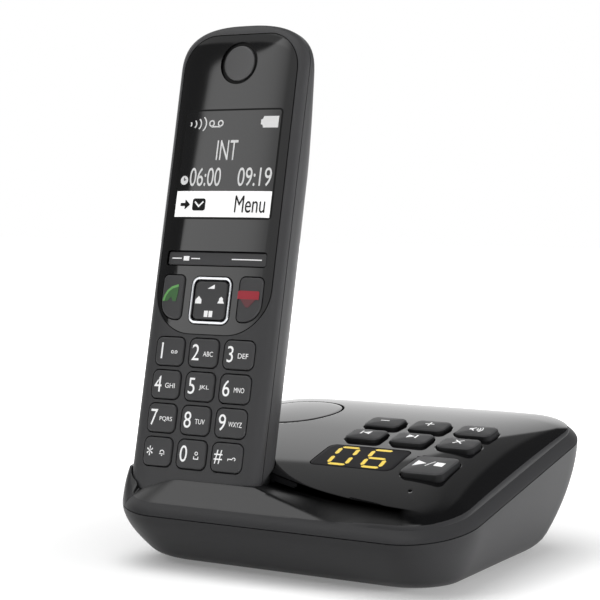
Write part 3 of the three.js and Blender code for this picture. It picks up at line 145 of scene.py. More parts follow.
class DeckSizes(PropertyGroup):
    """Keys, message display and microphone on top of the base, in the deck's own plane."""

    key_bottom: length("Key foot", 4.5, "Height of the keys' underside above the parting plane")
    flange: length("Key flange", 0.8, "Width and thickness of the keys' flange")
    play: length("Key play", 0.35, "Gap around the keys")
    lip: length("Hole lip", 0.25, "Softened edge around each hole")
    stand: length("Key stand", 1.7, "How far the keys stand above the dome")
    crown: length("Key crown", 0.4, "Rise of the keys' tops to their middle")
    edge: length("Key edge", 0.8, "Rounding of the keys' edges")
    corner: length("Key corner radius", 2.4, "Corner radius of the keys")
    small_x: length("Small key half width", 6.45, "Half the width of a small key")
    small_y: length("Small key half depth", 4.65, "Half the depth of a small key")
    column_x: length("First column", 7.9, "Place of the left column of small keys")
    pitch_x: length("Column pitch", 16.45, "Distance between the columns of small keys")
    row_y: length("First row", -2.9, "Place of the front row of small keys")
    pitch_y: length("Row pitch", 13.15, "Distance between the rows of small keys")
    play_x: length("Play key across", 40.2, "Place of the play and stop key")
    play_y: length("Play key along", -22.3, "Place of the play and stop key")
    play_half_x: length("Play key half width", 7.3, "Half the width of the play and stop key")
    play_half_y: length("Play key half depth", 7.6, "Half the depth of the play and stop key")
    paging_x: length("Paging key across", -33.2, "Middle of the round paging key")
    paging_y: length("Paging key along", 20.7, "Middle of the round paging key")
    paging_radius: length("Paging key radius", 16.3, "Radius of the round paging key")
    paging_play: length("Paging key play", 0.8, "Gap around the paging key")
    window_x: length("Window across", 14.3, "Middle of the message display's window")
    window_y: length("Window along", -19.5, "Middle of the message display's window")
    window_half_x: length("Window half width", 14.6, "Half the width of the window")
    window_half_y: length("Window half depth", 8.05, "Half the depth of the window")
    window_seat: length("Window seat", 8.5, "Height of the window's underside above the parting plane")
    microphone_x: length("Microphone across", 40.8, "Place of the microphone hole")
    microphone_y: length("Microphone along", -37.6, "Place of the microphone hole")
    microphone_hole: length("Microphone hole", 0.6, "Radius of the microphone hole")
    digit_height: length("Digit height", 14.4, "Height of the message count's digits")
    digit_width: length("Digit width", 7.8, "Width of the message count's digits")
    digit_stroke: length("Digit stroke", 1.4, "Width of the digits' segments")
    digit_pitch: length("Digit pitch", 11.9, "Distance between the two digits")
    digit_slant: share("Digit slant", -0.12, "Lean of the digits to the right")


class CradleSizes(PropertyGroup):
    """Pocket, underside and rear of the base."""

    play: length("Pocket play", 0.4, "Gap around the handset in its pocket")
    wall: length("Pocket wall", 1.4, "Thickness of the pocket's wall")
    contact_spread: length("Contact spread", 9, "Distance of each charging contact from the middle")
    contact_depth: length("Contact depth", 12, "Depth of the charging contacts behind the handset's face")
    contact_width: length("Contact width", 3, "Width of a charging contact")
    contact_hook: length("Contact hook", 2.4, "Depth of a charging contact's bend")
    slot_play: length("Slot play", 0.6, "Gap around each charging contact")
    foot_x: length("Foot across", 38, "Place of the feet")
    foot_y: length("Foot along", 30, "Place of the feet")
    foot_radius: length("Foot radius", 4.6, "Radius of the feet")
    foot_height: length("Foot height", 1.7, "Height of the feet")
    foot_recess: length("Foot recess", 0.8, "Depth of the feet's recesses")
    foot_play: length("Foot play", 0.2, "Gap around the feet in their recesses")
    foot_edge: length("Foot edge", 0.5, "Rounding of the feet")
    screw_x: length("Screw across", 42, "Place of the casing screws")
    screw_y: length("Screw along", 39, "Place of the casing screws")
    screw_well: length("Screw well", 2.9, "Radius of the wells for the casing screws")
    screw_tube: length("Screw tube", 4, "Radius of the tubes around the casing screws")
    screw_seat: length("Screw seat", 13, "Height at which the screws' heads sit")
    screw_bore: length("Screw bore", 1.6, "Radius of the bores for the casing screws")
    tube_top: length("Tube top", 15.2, "Height of the tubes around the casing screws")
    speaker_x: length("Loudspeaker across", 20.5, "Middle of the sound holes")
    speaker_y: length("Loudspeaker along", -26, "Middle of the sound holes")
    speaker_reach: length("Sound holes' reach", 9.8, "Radius of the round field of sound holes")
    sound_radius: length("Sound hole", 1.1, "Radius of a sound hole")
    sound_pitch: length("Sound hole pitch", 4.6, "Distance between the sound holes")
    socket_x: length("Socket across", 19, "Place of the line socket; the power socket mirrors it")
    line_half: length("Line window", 5.4, "Half the width of the line socket's window")
    power_half: length("Power window", 4.4, "Half the width of the power socket's window")
    socket_low: length("Window foot", 10.6, "Lower edge of the rear windows")
    socket_high: length("Window head", 18.4, "Upper edge of the rear windows")
    socket_back: length("Window start", 45.2, "Where the rear windows start")


class HandsetSizes(PropertyGroup):
    """Handset: its place in the cradle, its form, and what lies on its front and back."""

    x: length("Across", -33.7, "Middle of the handset")
    y: length("Along", -48.5, "Front face of the handset at its lower end")
    z: length("Height", 20.3, "Height of the handset's lower end")
    lean: turn("Lean", 12.48, "How far the handset leans back")
    tall: length("Length", 157.8, "Length of the handset")
    half: length("Half width", 24.5, "Half the width of the handset")
    front: length("Front depth", 7, "Depth of the front half of the form")
    back: length("Back depth", 17.4, "Depth of the back half of the form")
    face_power: share("Face power", 5, "Squareness of the front")
    back_power: share("Back power", 2, "Squareness of the back")
    top_power: share("Top power", 2.8, "Squareness of the top")
    bottom_power: share("Bottom power", 3, "Squareness of the lower end")
    end_flat: share("End depth share", 0.6, "Depth of the form at its very ends")
    taper: length("Taper", 48, "Length over which the back comes forward to the top")
    taper_power: share("Taper power", 1.5, "Fullness of the taper")
    taper_front: share("Front share at the top", 0.75, "Share of the front depth left at the very top")
    taper_back: share("Back share at the top", 0.05, "Share of the back depth left at the very top")
    top_end: length("Top rounding", 16, "Length of the rounded top")
    bottom_end: length("Bottom rounding", 9, "Length of the rounded bottom")
    wall: length("Wall", 1.8, "Thickness of the handset's casing")
    seam: length("Seam depth", 4.3, "Depth of the seam between front and back shell")
    gap: length("Gap", 0.3, "Gap between fitted pieces")
    plate: length("Front plate", 2.8, "Thickness of the front behind panel and keys")
    panel: length("Panel", 1.3, "Thickness of the gloss panel")
    panel_half: length("Panel half width", 21.8, "Half the width of the gloss panel")
    panel_low: length("Panel foot", 54.8, "Lower edge of the gloss panel")
    panel_high: length("Panel head", 154.2, "Upper edge of the gloss panel")
    panel_low_corner: length("Panel foot radius", 15, "Radius of the panel's lower corners")
    panel_high_corner: length("Panel head radius", 12, "Radius of the panel's upper corners")
    screen_half: length("Screen half width", 18.4, "Half the width of the screen")
    screen_low: length("Screen foot", 93, "Lower edge of the screen")
    screen_high: length("Screen head", 128.5, "Upper edge of the screen")
    small_corner: length("Small corner", 0.8, "Corner radius of the screen and the soft-key bar")
    ear: length("Earpiece", 144.5, "Height of the earpiece's middle")
    ear_ring: length("Earpiece ring", 7.1, "Radius of the earpiece's ring")
    ear_cap: length("Earpiece disc", 5.9, "Radius of the earpiece's disc")
    ear_bore: length("Earpiece opening", 4, "Radius of the opening under the earpiece's disc")
    microphone: length("Microphone", 5.6, "Height of the handset's microphone hole")
    microphone_hole: length("Microphone hole", 0.5, "Radius of the handset's microphone hole")
    proud: length("Key stand", 0.6, "How far the handset's keys stand above its face")
    key_edge: length("Key edge", 0.55, "Rounding of the handset's keys")
    key_crown: length("Key crown", 0.15, "Rise of the keys to their middle")
    key_corner: length("Key corner", 2.1, "Corner radius of the number keys")
    key_play: length("Key play", 0.35, "Gap around the handset's keys")
    number_x: length("Number key half width", 5.55, "Half the width of a number key")
    number_v: length("Number key half height", 4.6, "Half the height of a number key")
    number_pitch_x: length("Number key pitch across", 13.2, "Distance between the columns of number keys")
    number_pitch_v: length("Number key pitch along", 10.86, "Distance between the rows of number keys")
    number_top: length("Top number row", 48.7, "Height of the top row of number keys")
    call_inner: length("Call key inner edge", 10.6, "Inner edge of the talk and end keys")
    call_outer: length("Call key outer edge", 19.1, "Outer edge of the talk and end keys")
    call_low: length("Call key foot", 59.2, "Lower edge of the talk and end keys")
    call_high: length("Call key head", 73.7, "Upper edge of the talk and end keys")
    call_corner: length("Call key corner", 1.8, "Corner radius of the talk and end keys")
    call_sweep: length("Call key sweep", 6, "Radius of the talk and end keys' lower outer corner")
    soft_half: length("Soft key half width", 18.85, "Half the width of the soft-key bar")
    soft_low: length("Soft key foot", 77.2, "Lower edge of the soft-key bar")
    soft_high: length("Soft key head", 81.6, "Upper edge of the soft-key bar")
    soft_sink: length("Soft key sink", 0.35, "How far the soft-key bar lies below the panel")
    nav: length("Navigation key", 65.75, "Middle of the navigation key")
    nav_half: length("Navigation key half size", 6.2, "Half the size of the navigation key")
    nav_corner: length("Navigation key corner", 1.8, "Corner radius of the navigation key")
    nav_proud: length("Navigation key stand", 0.5, "How far the navigation key stands above the panel")
    trim_half: length("Trim half size", 7.7, "Half the size of the silver trim")
    trim_width: length("Trim width", 1.0, "Width of the silver trim")
    trim_proud: length("Trim stand", 0.5, "How far the silver trim stands above the panel")
    trim_corner: length("Trim corner", 2.7, "Outer corner radius of the silver trim")
    cover_half: length("Cover half width", 15.5, "Half the width of the battery cover")
    cover_low: length("Cover foot", 36, "Lower edge of the battery cover")
    cover_high: length("Cover head", 97, "Upper edge of the battery cover")
    cover_wall: length("Cover thickness", 1.5, "Thickness of the battery cover")
    cover_skirt: length("Cover skirt", 1.2, "Depth of the battery cover's edge")
    cover_lap: length("Cover lap", 1.2, "Width of the ledge that carries the battery cover")
    cover_corner: length("Cover corner", 4, "Corner radius of the battery cover")
    cell_spread: length("Cell spread", 5.9, "Distance of each cell from the middle")
    cell_depth: length("Cell depth", 16, "Depth of the cells behind the front")
    cell_radius: length("Cell radius", 5.25, "Radius of a cell")
    cell_low: length("Cell foot", 43, "Lower end of the cells")
    cell_high: length("Cell head", 87.5, "Upper end of the cells")
    cell_play: length("Cell play", 0.6, "Gap around the cells")
    cell_wall: length("Cell wall", 1.2, "Wall of the battery compartment")
    ringer: length("Ringer", 116, "Height of the ringer's sound holes")
    ringer_ring: length("Ringer ring", 4.5, "Radius of the ring of sound holes")
    ringer_hole: length("Ringer hole", 0.9, "Radius of a ringer hole")
    pad_half: length("Charging pad half width", 2.2, "Half the width of a charging pad")
    pad_depth: length("Charging pad half depth", 2.6, "Half the depth of a charging pad")
    pad_recess: length("Charging pad recess", 0.6, "How deep the charging pads lie")


class Finishes(PropertyGroup):
    """Colours of the pieces."""

    gloss: paint("Gloss black", (10, 10, 11), "Upper shell of the base, front panel of the handset")
    satin: paint("Base grey", (44, 44, 45), "Lower shell and band of the base")
    casing: paint("Handset grey", (50, 50, 51), "Shells of the handset")
    key: paint("Key grey", (52, 52, 53), "Keys of base and handset")
    # Painted shade: a darker copy of the key grey for the sides of the base's keys.
    key_side_painted_shade: paint("Key side", (26, 26, 27), "Sides of the base's keys")
    window: paint("Window", (27, 26, 28), "Window of the message display")
    amber: paint("Amber", (218, 188, 58), "Digits of the message count")
    screen: paint("Screen", (14, 14, 15), "Background of the handset's screen")
    characters: paint("Screen characters", (206, 206, 206), "Characters on the handset's screen")
    white: paint("White", (236, 236, 236), "Markings and screen characters")
    green: paint("Green", (92, 150, 82), "Bright stroke of the talk key's symbol")
    dark_green: paint("Dim green", (42, 82, 39), "Body of the talk key's symbol")
    red: paint("Red", (136, 20, 36), "Bar of the end key's symbol")
    dark_red: paint("Dim red", (80, 34, 39), "Fading foot of the end key's symbol")
    silver: paint("Silver", (214, 216, 219), "Trim of the navigation key")
    floor: paint("Floor", (232, 232, 232), "Floor under the machine")


class StageSizes(PropertyGroup):
    """Camera and light."""

    lens: FloatProperty(name="Lens", description="Focal length of the camera in millimetres", default=103.76)
    floor_half: length("Floor half size", 3000, "Half the size of the floor")
    fill: share("Fill light", 0.31, "Even light from all sides on plain surfaces")
    floor_glow: share("Floor glow", 0.2, "Share of the floor's white that doesn't come from the lamps")


# Meshes as pairs of a vertex array and a list of faces


def quad_faces(rows, columns, closed):
    """Quads of a grid of points with the given counts, closed along the columns when asked."""
    index = np.arange(rows * columns).reshape(rows, columns)
    if closed:
        index = np.concatenate([index, index[:, :1]], axis=1)
    corners = [index[:-1, :-1], index[:-1, 1:], index[1:, 1:], index[1:, :-1]]
    return np.stack(corners, -1).reshape(-1, 4)


def loft(rings):
    """A closed skin over rings of equal point counts, with a fan to the middle of the first and last."""
    levels, count, _ = rings.shape
    ends = np.stack([rings[0].mean(0), rings[-1].mean(0)])
    points = np.concatenate([rings.reshape(-1, 3), ends])
    side = np.arange(count)
    after = (side + 1) % count
    low = np.full(count, levels * count)
    last = (levels - 1) * count
    bottom = np.stack([low, after, side], 1)
    top = np.stack([low + 1, last + side, last + after], 1)
    return points, quad_faces(levels, count, True).tolist() + bottom.tolist() + top.tolist()


def join(shapes):
    """Several shapes that don't touch, as one."""
    faces, start = [], 0
    for points, some in shapes:
        faces += [[corner + start for corner in face] for face in some]
        start += len(points)
    return np.concatenate([points for points, _ in shapes]), faces


def turned(points, angle, origin):
    """Points of a frame that is turned about X by an angle and stands at an origin."""
    x, y, z = points[..., 0], points[..., 1], points[..., 2]
    c, s = math.cos(angle), math.sin(angle)
    return np.stack([x + origin[0], y * c - z * s + origin[1], y * s + z * c + origin[2]], -1)


def block(low, high):
    """A box between two corners."""
    x0, y0, z0 = low
    x1, y1, z1 = high
    square = np.array([[x0, y0], [x1, y0], [x1, y1], [x0, y1]])
    return tower([(square, z0), (square, z1)])


def tower(steps):
    """A closed body over flat outlines (count by 2), each at a height or at a height for each point."""
    rings = [np.column_stack([outline, np.broadcast_to(height, len(outline))]) for outline, height in steps]
    return loft(np.stack(rings))


def circle(x, y, radius, count=48, grow=0.0):
    """Points round a circle: middle plus radius times cosine and sine."""
    angle = np.arange(count) * 2 * HALF_TURN / count
    radius = radius + grow
    return np.column_stack([x + radius * np.cos(angle), y + radius * np.sin(angle)])


def post(x, y, radius, low, high, count=48):
    """An upright round rod between two heights."""
    outline = circle(x, y, radius, count)
    return tower([(outline, low), (outline, high)])


def facing(points):
    """Points drawn across, along and out of the handset's face, on its axes across, depth and along."""
    return np.stack([points[:, 0], -points[:, 2], points[:, 1]], -1)


def rounded(x0, x1, y0, y1, radii, steps=8, sides=10):
    """A rectangle with its own radius at each corner: right bottom, right top, left top, left bottom.

    Each corner is a quarter circle, and each side is divided evenly, so that point counts agree.
    """
    signs = [(1, -1), (1, 1), (-1, 1), (-1, -1)]
    arcs = []
    for number, ((across, along), radius) in enumerate(zip(signs, radii)):
        middle = np.array([
            x1 - radius if across > 0 else x0 + radius,
            y1 - radius if along > 0 else y0 + radius,
        ])
        angle = (np.linspace(0, 1, steps + 1) + number - 1) * HALF_TURN / 2
        arcs.append(middle + radius * np.column_stack([np.cos(angle), np.sin(angle)]))
    parts = []
    for arc, following in zip(arcs, arcs[1:] + arcs[:1]):
        way = np.linspace(0, 1, sides + 1)[1:-1, None]
        parts += [arc, arc[-1] + (following[0] - arc[-1]) * way]
    return np.concatenate(parts)


def even_rect(x, y, half_x, half_y, radius, grow=0.0, **counts):
    """A rectangle with four like corners around a middle, grown by a distance."""
    radius = max(radius + grow, 0.05 * MM)
    hx, hy = half_x + grow, half_y + grow
    return rounded(x - hx, x + hx, y - hy, y + hy, [radius] * 4, **counts)


# Objects and booleans


def new_object(name, shape):
    """An object at the origin with the mesh of a shape."""
    points, faces = shape
    mesh = bpy.data.meshes.new(name)
    mesh.from_pydata(points.tolist(), [], faces if isinstance(faces, list) else faces.tolist())
    mesh.validate()
    thing = bpy.data.objects.new(name, mesh)
    bpy.context.scene.collection.objects.link(thing)
    return thing


def baked(thing):
    """The mesh that an object's modifiers give, kept in place of its own."""
    graph = bpy.context.evaluated_depsgraph_get()
    mesh = bpy.data.meshes.new_from_object(thing.evaluated_get(graph))
    old = thing.data
    thing.modifiers.clear()
    thing.data = mesh
    bpy.data.meshes.remove(old)
    return thing


def combine(thing, shapes, operation="DIFFERENCE"):
    """Cuts shapes from a thing, or joins or crosses them with it, and deletes them."""
    helpers = [new_object("helper", shape) if isinstance(shape, tuple) else shape for shape in shapes]
    for helper in helpers:
        step = thing.modifiers.new("combine", "BOOLEAN")
        step.object = helper
        step.operation = operation
        step.solver = "MANIFOLD"
    baked(thing)
    if not len(thing.data.vertices):
        raise RuntimeError("nothing is left of " + thing.name)
    for helper in helpers:
        mesh = helper.data
        bpy.data.objects.remove(helper)
        bpy.data.meshes.remove(mesh)
    return thing


def finish_piece(thing, body, materials, replaces=(), sharp=32):
    """Gives a piece its materials and shading, and lets it ride on its body.

    Edges sharper than so many degrees stay sharp. Where there is more than one material, each face keeps
    the number that it had been given.
    """
    mesh = thing.data
    wanted = materials if isinstance(materials, list) else [materials]
    kept = [polygon.material_index for polygon in mesh.polygons] if len(wanted) > 1 else None
    mesh.materials.clear()
    for material in wanted:
        mesh.materials.append(material)
    if kept:
        mesh.polygons.foreach_set("material_index", kept)
    mesh.shade_smooth()
    mesh.set_sharp_from_angle(angle=math.radians(sharp))
    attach(thing, body)
    if replaces:
        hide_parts(*replaces)
    return thing


def face_values(mesh, name):
    """Centres or normals of all faces of a mesh, three numbers each."""
    values = np.empty(len(mesh.polygons) * 3)
    mesh.polygons.foreach_get(name, values)
    return values.reshape(-1, 3)


# Form of the base


def along_outline(s, t, half_x, half_y, radius):
    """Place of (s, t) of the square from -1 to 1 inside a rectangle with round corners.

    Rays from the middle are shortened by the share of the way at which they meet the round corner.
    """
    reach = np.maximum(np.abs(s), np.abs(t))
    reach = np.where(reach > 0, reach, 1)
    px, py = np.abs(s) / reach * half_x, np.abs(t) / reach * half_y
    cx, cy = half_x - radius, half_y - radius
    along = px * cx + py * cy
    square = px**2 + py**2
    root = np.sqrt(np.maximum(along**2 - square * (cx**2 + cy**2 - radius**2), 0))
    part = np.where((px > cx) & (py > cy), (along + root) / square, 1)
    return s * half_x * part, t * half_y * part


def smooth(value):
    """Three times the square less twice the cube of a value held between 0 and 1."""
    value = np.clip(value, 0, 1)
    return value * value * (3 - 2 * value)


class BaseForm:
    """Curves of the base's casing, worked out from its sizes."""

    # Shares of the half width at which the rim's bulge and its top start, and over which they grow
    BULGE_START, BULGE_WIDTH = 0.8, 0.158
    RIM_START, RIM_WIDTH = 0.958, 0.017
    SOFTNESS = 0.35 * MM  # half the width over which the front's edges are smoothed
    SKIRT_BULGE = 0.45 * MM  # how far the band under the crest curves out
    SIDE_HEIGHT = 28 * MM  # height of the sides, over which the lower edge takes its share
    FIRST_GUESS = 6 * MM  # height above the deck's plane from which the dome is searched

    def __init__(self, base):
        self.base = base
        self.slope = math.tan(base.tilt)
        self.crest_x = base.half_width - base.band_inset
        self.crest_y = base.half_depth - base.band_inset
        self.crest_corner = base.corner - base.band_inset

    def seam(self, y):
        """Height of the parting plane: it rises evenly to the back."""
        return self.base.seam_height + self.slope * y

    def crest(self, y):
        """Height of the crest, where the dome starts."""
        return self.seam(y) + self.base.band_rise

    def across(self, x):
        """One less the share of the half width, to a power."""
        return 1 - np.minimum(1, np.abs(x) / self.crest_x) ** self.base.across_power

    def along(self, y):
        """To the front one less the share to a power, to the back a product of two parabolas."""
        part = np.minimum(1, np.abs(y) / self.crest_y)
        back = (1 - part**2) * (1 - self.base.back_share * part**2)
        return np.where(y < 0, 1 - part**self.base.front_power, back)

    def dome(self, x, y):
        """Height of the dome: the crest's plane plus the rise times a root.

        Under the root stands the product of both curves, less its value at the corner's arc times the
        squared share of the way out to that arc, so that it is nought all along the crest.
        """
        core_x, core_y = self.crest_x - self.crest_corner, self.crest_y - self.crest_corner
        out_x, out_y = np.maximum(np.abs(x) - core_x, 0), np.maximum(np.abs(y) - core_y, 0)
        angle = np.arctan2(out_y, out_x)
        end_x = core_x + self.crest_corner * np.cos(angle)
        end_y = np.sign(y) * (core_y + self.crest_corner * np.sin(angle))
        part = np.minimum(1, np.hypot(out_x, out_y) / self.crest_corner) ** 2
        level = np.where((out_x > 0) & (out_y > 0), self.across(end_x) * self.along(end_y) * part, 0)
        square = np.maximum(self.across(x) * self.along(y) - level, 0)
        return self.crest(y) + self.base.dome_rise * np.sqrt(square)

    def crease(self, x):
        """Place of the crease: a parabola from its start at the handset to its end."""
        base = self.base
        reach = np.clip((base.crease_end_x - x) / (base.crease_end_x - base.crease_start_x), 0, 1)
        return base.crease_end_y + (base.crease_start_y - base.crease_end_y) * reach**2

    def ridge(self, x):
        """Place of the ridge between ramp and shelf: straight from the handset's corner to the crest."""
        base = self.base
        reach = np.clip((x - base.ramp_x) / (base.ridge_x - base.ramp_x), 0, 1)
        return base.ramp_y + (-self.crest_y - base.ramp_y) * reach

    def front(self, s, t, half_x, half_y, radius):
        """Height in front of the crease: straight pieces from crest to ridge to foot to brink."""
        base = self.base
        x = s * self.crest_x
        _, crest_at = along_outline(s, -np.ones_like(s), half_x, half_y, radius)
        t_crease = self.crease(x) / self.crest_y
        t_foot = t_crease - base.crease_width / self.crest_y
        hair = 1e-4  # keeps the ramp's length from being nought where the ridge has met the crest
        t_ridge = np.maximum(self.ridge(x) / self.crest_y, -1 + hair)
        part = np.clip((base.crease_end_x - x) / (base.crease_end_x - base.crease_start_x), 0, 1)
        brink_x, brink_y = along_outline(s, t_crease, self.crest_x, self.crest_y, self.crest_corner)
        brink = self.dome(brink_x, brink_y)
        foot = brink - base.crease_depth * part
        ramp = (base.ramp_z - self.crest(-self.crest_y)) / (base.ramp_y + self.crest_y)
        low = self.crest(crest_at)
        top = low + ramp * (self.ridge(x) + self.crest_y)
        on_ramp = low + (top - low) * (t + 1) / (t_ridge + 1)
        on_shelf = top + (foot - top) * (t - t_ridge) / (t_foot - t_ridge)
        on_step = foot + (brink - foot) * (t - t_foot) / (t_crease - t_foot)
        return np.where(t < t_ridge, on_ramp, np.where(t < t_foot, on_shelf, on_step))

    def top(self, s, t, inset, drop):
        """The upper shell's top at s across and t along, both from -1 to 1, drawn in and lowered.

        Before the crease the front takes over from the dome, as the mean of five heights a little apart,
        which softens its edges; beside the handset the rim's height takes over.
        """
        base = self.base
        half_x, half_y, radius = self.crest_x - inset, self.crest_y - inset, self.crest_corner - inset
        flat_x, flat_y = along_outline(s, t, half_x, half_y, radius)
        outer_x, outer_y = along_outline(s, t, self.crest_x, self.crest_y, self.crest_corner)
        x = s * self.crest_x
        z = self.dome(outer_x, outer_y) + self.slope * (flat_y - outer_y)
        shifts = np.linspace(-1, 1, 5) * (self.SOFTNESS / self.crest_y)
        fronts = [self.front(s, np.maximum(t + shift, -1), half_x, half_y, radius) for shift in shifts]
        fade = smooth((base.crease_end_x - x) / (base.crease_end_x - base.ridge_x))
        before = (t < self.crease(x) / self.crest_y) & (x < base.crease_end_x)
        z = np.where(before, z + (sum(fronts) / len(fronts) - z) * fade, z)
        rise = smooth((flat_y - base.rim_front) / (base.rim_full - base.rim_front))
        fall = np.clip((base.rim_back - flat_y) / (base.rim_back - base.rim_full), 0, 1)
        on_rim = np.clip((-s - self.RIM_START) / self.RIM_WIDTH, 0, 1)
        outset = np.clip((-s - self.BULGE_START) / self.BULGE_WIDTH, 0, 1)
        z = z + (self.crest(flat_y) + base.rim_lift * rise * fall - z) * on_rim
        return np.stack([flat_x - base.rim_outset * outset * rise, flat_y, z - drop], -1)

    def grid(self, dense):
        """Shares s across and t along of the top's grid, whose rows follow ridge and crease.

        Columns lie close at the rim and bunch by a power to the right edge, rows by a power to the back.
        """
        s = np.concatenate([
            np.linspace(-1, -0.94, round(26 * dense)),
            np.linspace(-0.93, -0.7, round(14 * dense)),
            np.linspace(-0.69, 0.7, round(100 * dense)),
            1 - 0.29 * np.linspace(1, 0, round(46 * dense)) ** 1.6,
        ])
        x = s * self.crest_x
        t_crease = self.crease(x) / self.crest_y
        t_foot = t_crease - self.base.crease_width / self.crest_y
        t_ridge = np.maximum(self.ridge(x) / self.crest_y, -1 + 0.25 * (t_foot + 1))
        spans = [
            (-np.ones_like(s), t_ridge, np.linspace(0, 1, round(10 * dense))[:-1]),
            (t_ridge, t_foot, np.linspace(0, 1, round(12 * dense))[:-1]),
            (t_foot, t_crease, np.linspace(0, 1, round(6 * dense))[:-1]),
            (t_crease, np.ones_like(s), 1 - np.linspace(1, 0, round(110 * dense)) ** 1.4),
        ]
        t = np.concatenate([a + (b - a) * part[:, None] for a, b, part in spans])
        return np.broadcast_to(s, t.shape), t

    def upper(self, inset, drop, skirt_inset, foot_drop, dense=1.0):
        """Closed body under the top: the grid, a band to the outline and a flat foot.

        The band runs straight from crest to foot, plus a parabola outwards that is nought at both.
        """
        base = self.base
        s, t = self.grid(dense)
        grid = self.top(s, t, inset, drop).reshape(-1, 3)
        rows, columns = t.shape
        index = np.arange(rows * columns).reshape(rows, columns)
        edge = np.concatenate([index[0, :-1], index[:-1, -1], index[-1, :0:-1], index[:0:-1, 0]])
        outline = [full - skirt_inset for full in (base.half_width, base.half_depth, base.corner)]
        x, y = along_outline(s.reshape(-1)[edge], t.reshape(-1)[edge], *outline)
        foot = np.column_stack([x, y, self.seam(y) - foot_drop])
        crest = grid[edge]
        steps = (0.2, 0.4, 0.6, 0.8, 0.93, 1)
        out = (foot - crest) * (1, 1, 0)
        out /= np.maximum(np.linalg.norm(out, axis=1, keepdims=True), 1e-9)
        out *= self.SKIRT_BULGE
        skirt = [crest + (foot - crest) * part + out * 4 * part * (1 - part) for part in steps]
        points = np.concatenate([grid, *skirt, foot.mean(0)[None]])
        added = rows * columns + np.arange(len(steps) * len(edge)).reshape(len(steps), -1)
        rings = np.concatenate([edge[None], added])
        low, high, last = rings[1:], rings[:-1], rings[-1]
        band = np.stack([low, np.roll(low, -1, 1), np.roll(high, -1, 1), high], -1).reshape(-1, 4)
        bottom = np.stack([np.full(len(edge), len(points) - 1), np.roll(last, -1), last], 1)
        return points, quad_faces(rows, columns, False).tolist() + band.tolist() + bottom.tolist()

    def lower(self, inset, bottom, top_rise, rounding, count=44, levels=26):
        """The lower shell's skin: rings from the floor to the parting plane.

        The sides are drawn in by the foot inset times (1 - height share) to the barrel power, and the
        lower edge is a quarter circle.
        """
        base = self.base
        ticks = np.linspace(-1, 1, count, endpoint=False)
        one = np.ones_like(ticks)
        s = np.concatenate([ticks, one, -ticks, -one])
        t = np.concatenate([-one, ticks, one, -ticks])
        quarter = np.linspace(0, HALF_TURN / 2, 7)
        part_round = rounding / self.SIDE_HEIGHT * (1 - np.cos(quarter))
        draw_round = rounding * (1 - np.sin(quarter))
        more = np.linspace(part_round[-1], 1, levels)[1:]
        parts = np.concatenate([part_round, more])[:, None]
        draws = np.concatenate([draw_round, np.zeros(len(more))])[:, None]
        drawn = (1 - parts) ** base.barrel
        half_x = base.half_width - base.foot_inset_x * drawn - inset - draws
        half_y = base.half_depth - base.foot_inset_y * drawn - inset - draws
        at_foot = np.where(t > 0, base.foot_corner_back, base.foot_corner)[None]
        radius = at_foot + (base.corner - at_foot) * (1 - drawn) - inset
        x, y = along_outline(s[None], t[None], half_x, half_y, radius)
        z = bottom + (self.seam(y) + top_rise - bottom) * parts
        return loft(np.stack([x, y, z], -1))

    def placed(self, shape):
        """A shape of the deck, whose plane is the parting plane, in the part's own frame."""
        points, faces = shape
        return turned(points, self.base.tilt, (0, 0, self.base.seam_height)), faces

    def above_deck(self, x, y):
        """Height of the dome above the deck's plane: the fixed point of stepping along its normal."""
        c, s = math.cos(self.base.tilt), math.sin(self.base.tilt)
        z = np.full(np.shape(x), self.FIRST_GUESS)
        for _ in range(8):
            flat = y * c - z * s
            z = (self.dome(x, flat) - self.seam(flat)) * c
        return z

    def dome_hole(self, outline_of, lip, bottom=0.0):
        """Cutter for a hole in the dome, with a softened edge that follows the dome."""
        above = 8 * MM
        edge = ((0, -lip), (0.3 * lip, -0.3 * lip), (lip, 0.0)) if lip else ((0, 0.0),)
        steps = [(outline_of(grow=0), bottom)]
        for grow, rise in (*edge, (lip + above, above)):
            outline = outline_of(grow=grow)
            steps.append((outline, self.above_deck(*outline.T) + rise))
        return self.placed(tower(steps))

    def dome_cap(self, outline_of, bottom, flange, edge, middle):
        """Closed piece whose top follows the dome: a flange, a wall, a soft edge, rings to the middle."""
        rim, step = outline_of(grow=-edge), 0.3 * edge
        tops = [(outline_of(grow=0), edge), (outline_of(grow=-step), step), (rim, 0)]
        tops += [(middle + (rim - middle) * part, 0) for part in np.linspace(1, 0, 14)[1:-1]]
        steps = [(outline, self.above_deck(*outline.T) - sink) for outline, sink in tops]
        return self.placed(tower(foot_steps(outline_of, bottom, flange) + steps))


def foot_steps(outline_of, bottom, flange):
    """Outlines and heights of a key's foot: the flange, where it has one, and the start of its wall."""
    if not flange:
        return [(outline_of(grow=0), bottom)]
    wide, top = outline_of(grow=flange), bottom + flange
    return [(wide, bottom), (wide, top), (outline_of(grow=0), top)]


def key_cap(outline_of, bottom, top, edge, crown, middle, flange=0.0):
    """A key: a wall, a quarter-round edge, and a top that rises to its middle by a parabola."""
    steps = foot_steps(outline_of, bottom, flange)
    low = top - crown
    for angle in np.linspace(0, HALF_TURN / 2, 7):
        steps.append((outline_of(grow=-edge * (1 - math.cos(angle))), low - edge * (1 - math.sin(angle))))
    rim = outline_of(grow=-edge)
    for part in np.linspace(1, 0, 10)[1:-1]:
        steps.append((middle + (rim - middle) * part, top - crown * part**2))
    return tower(steps)


# Form of the handset


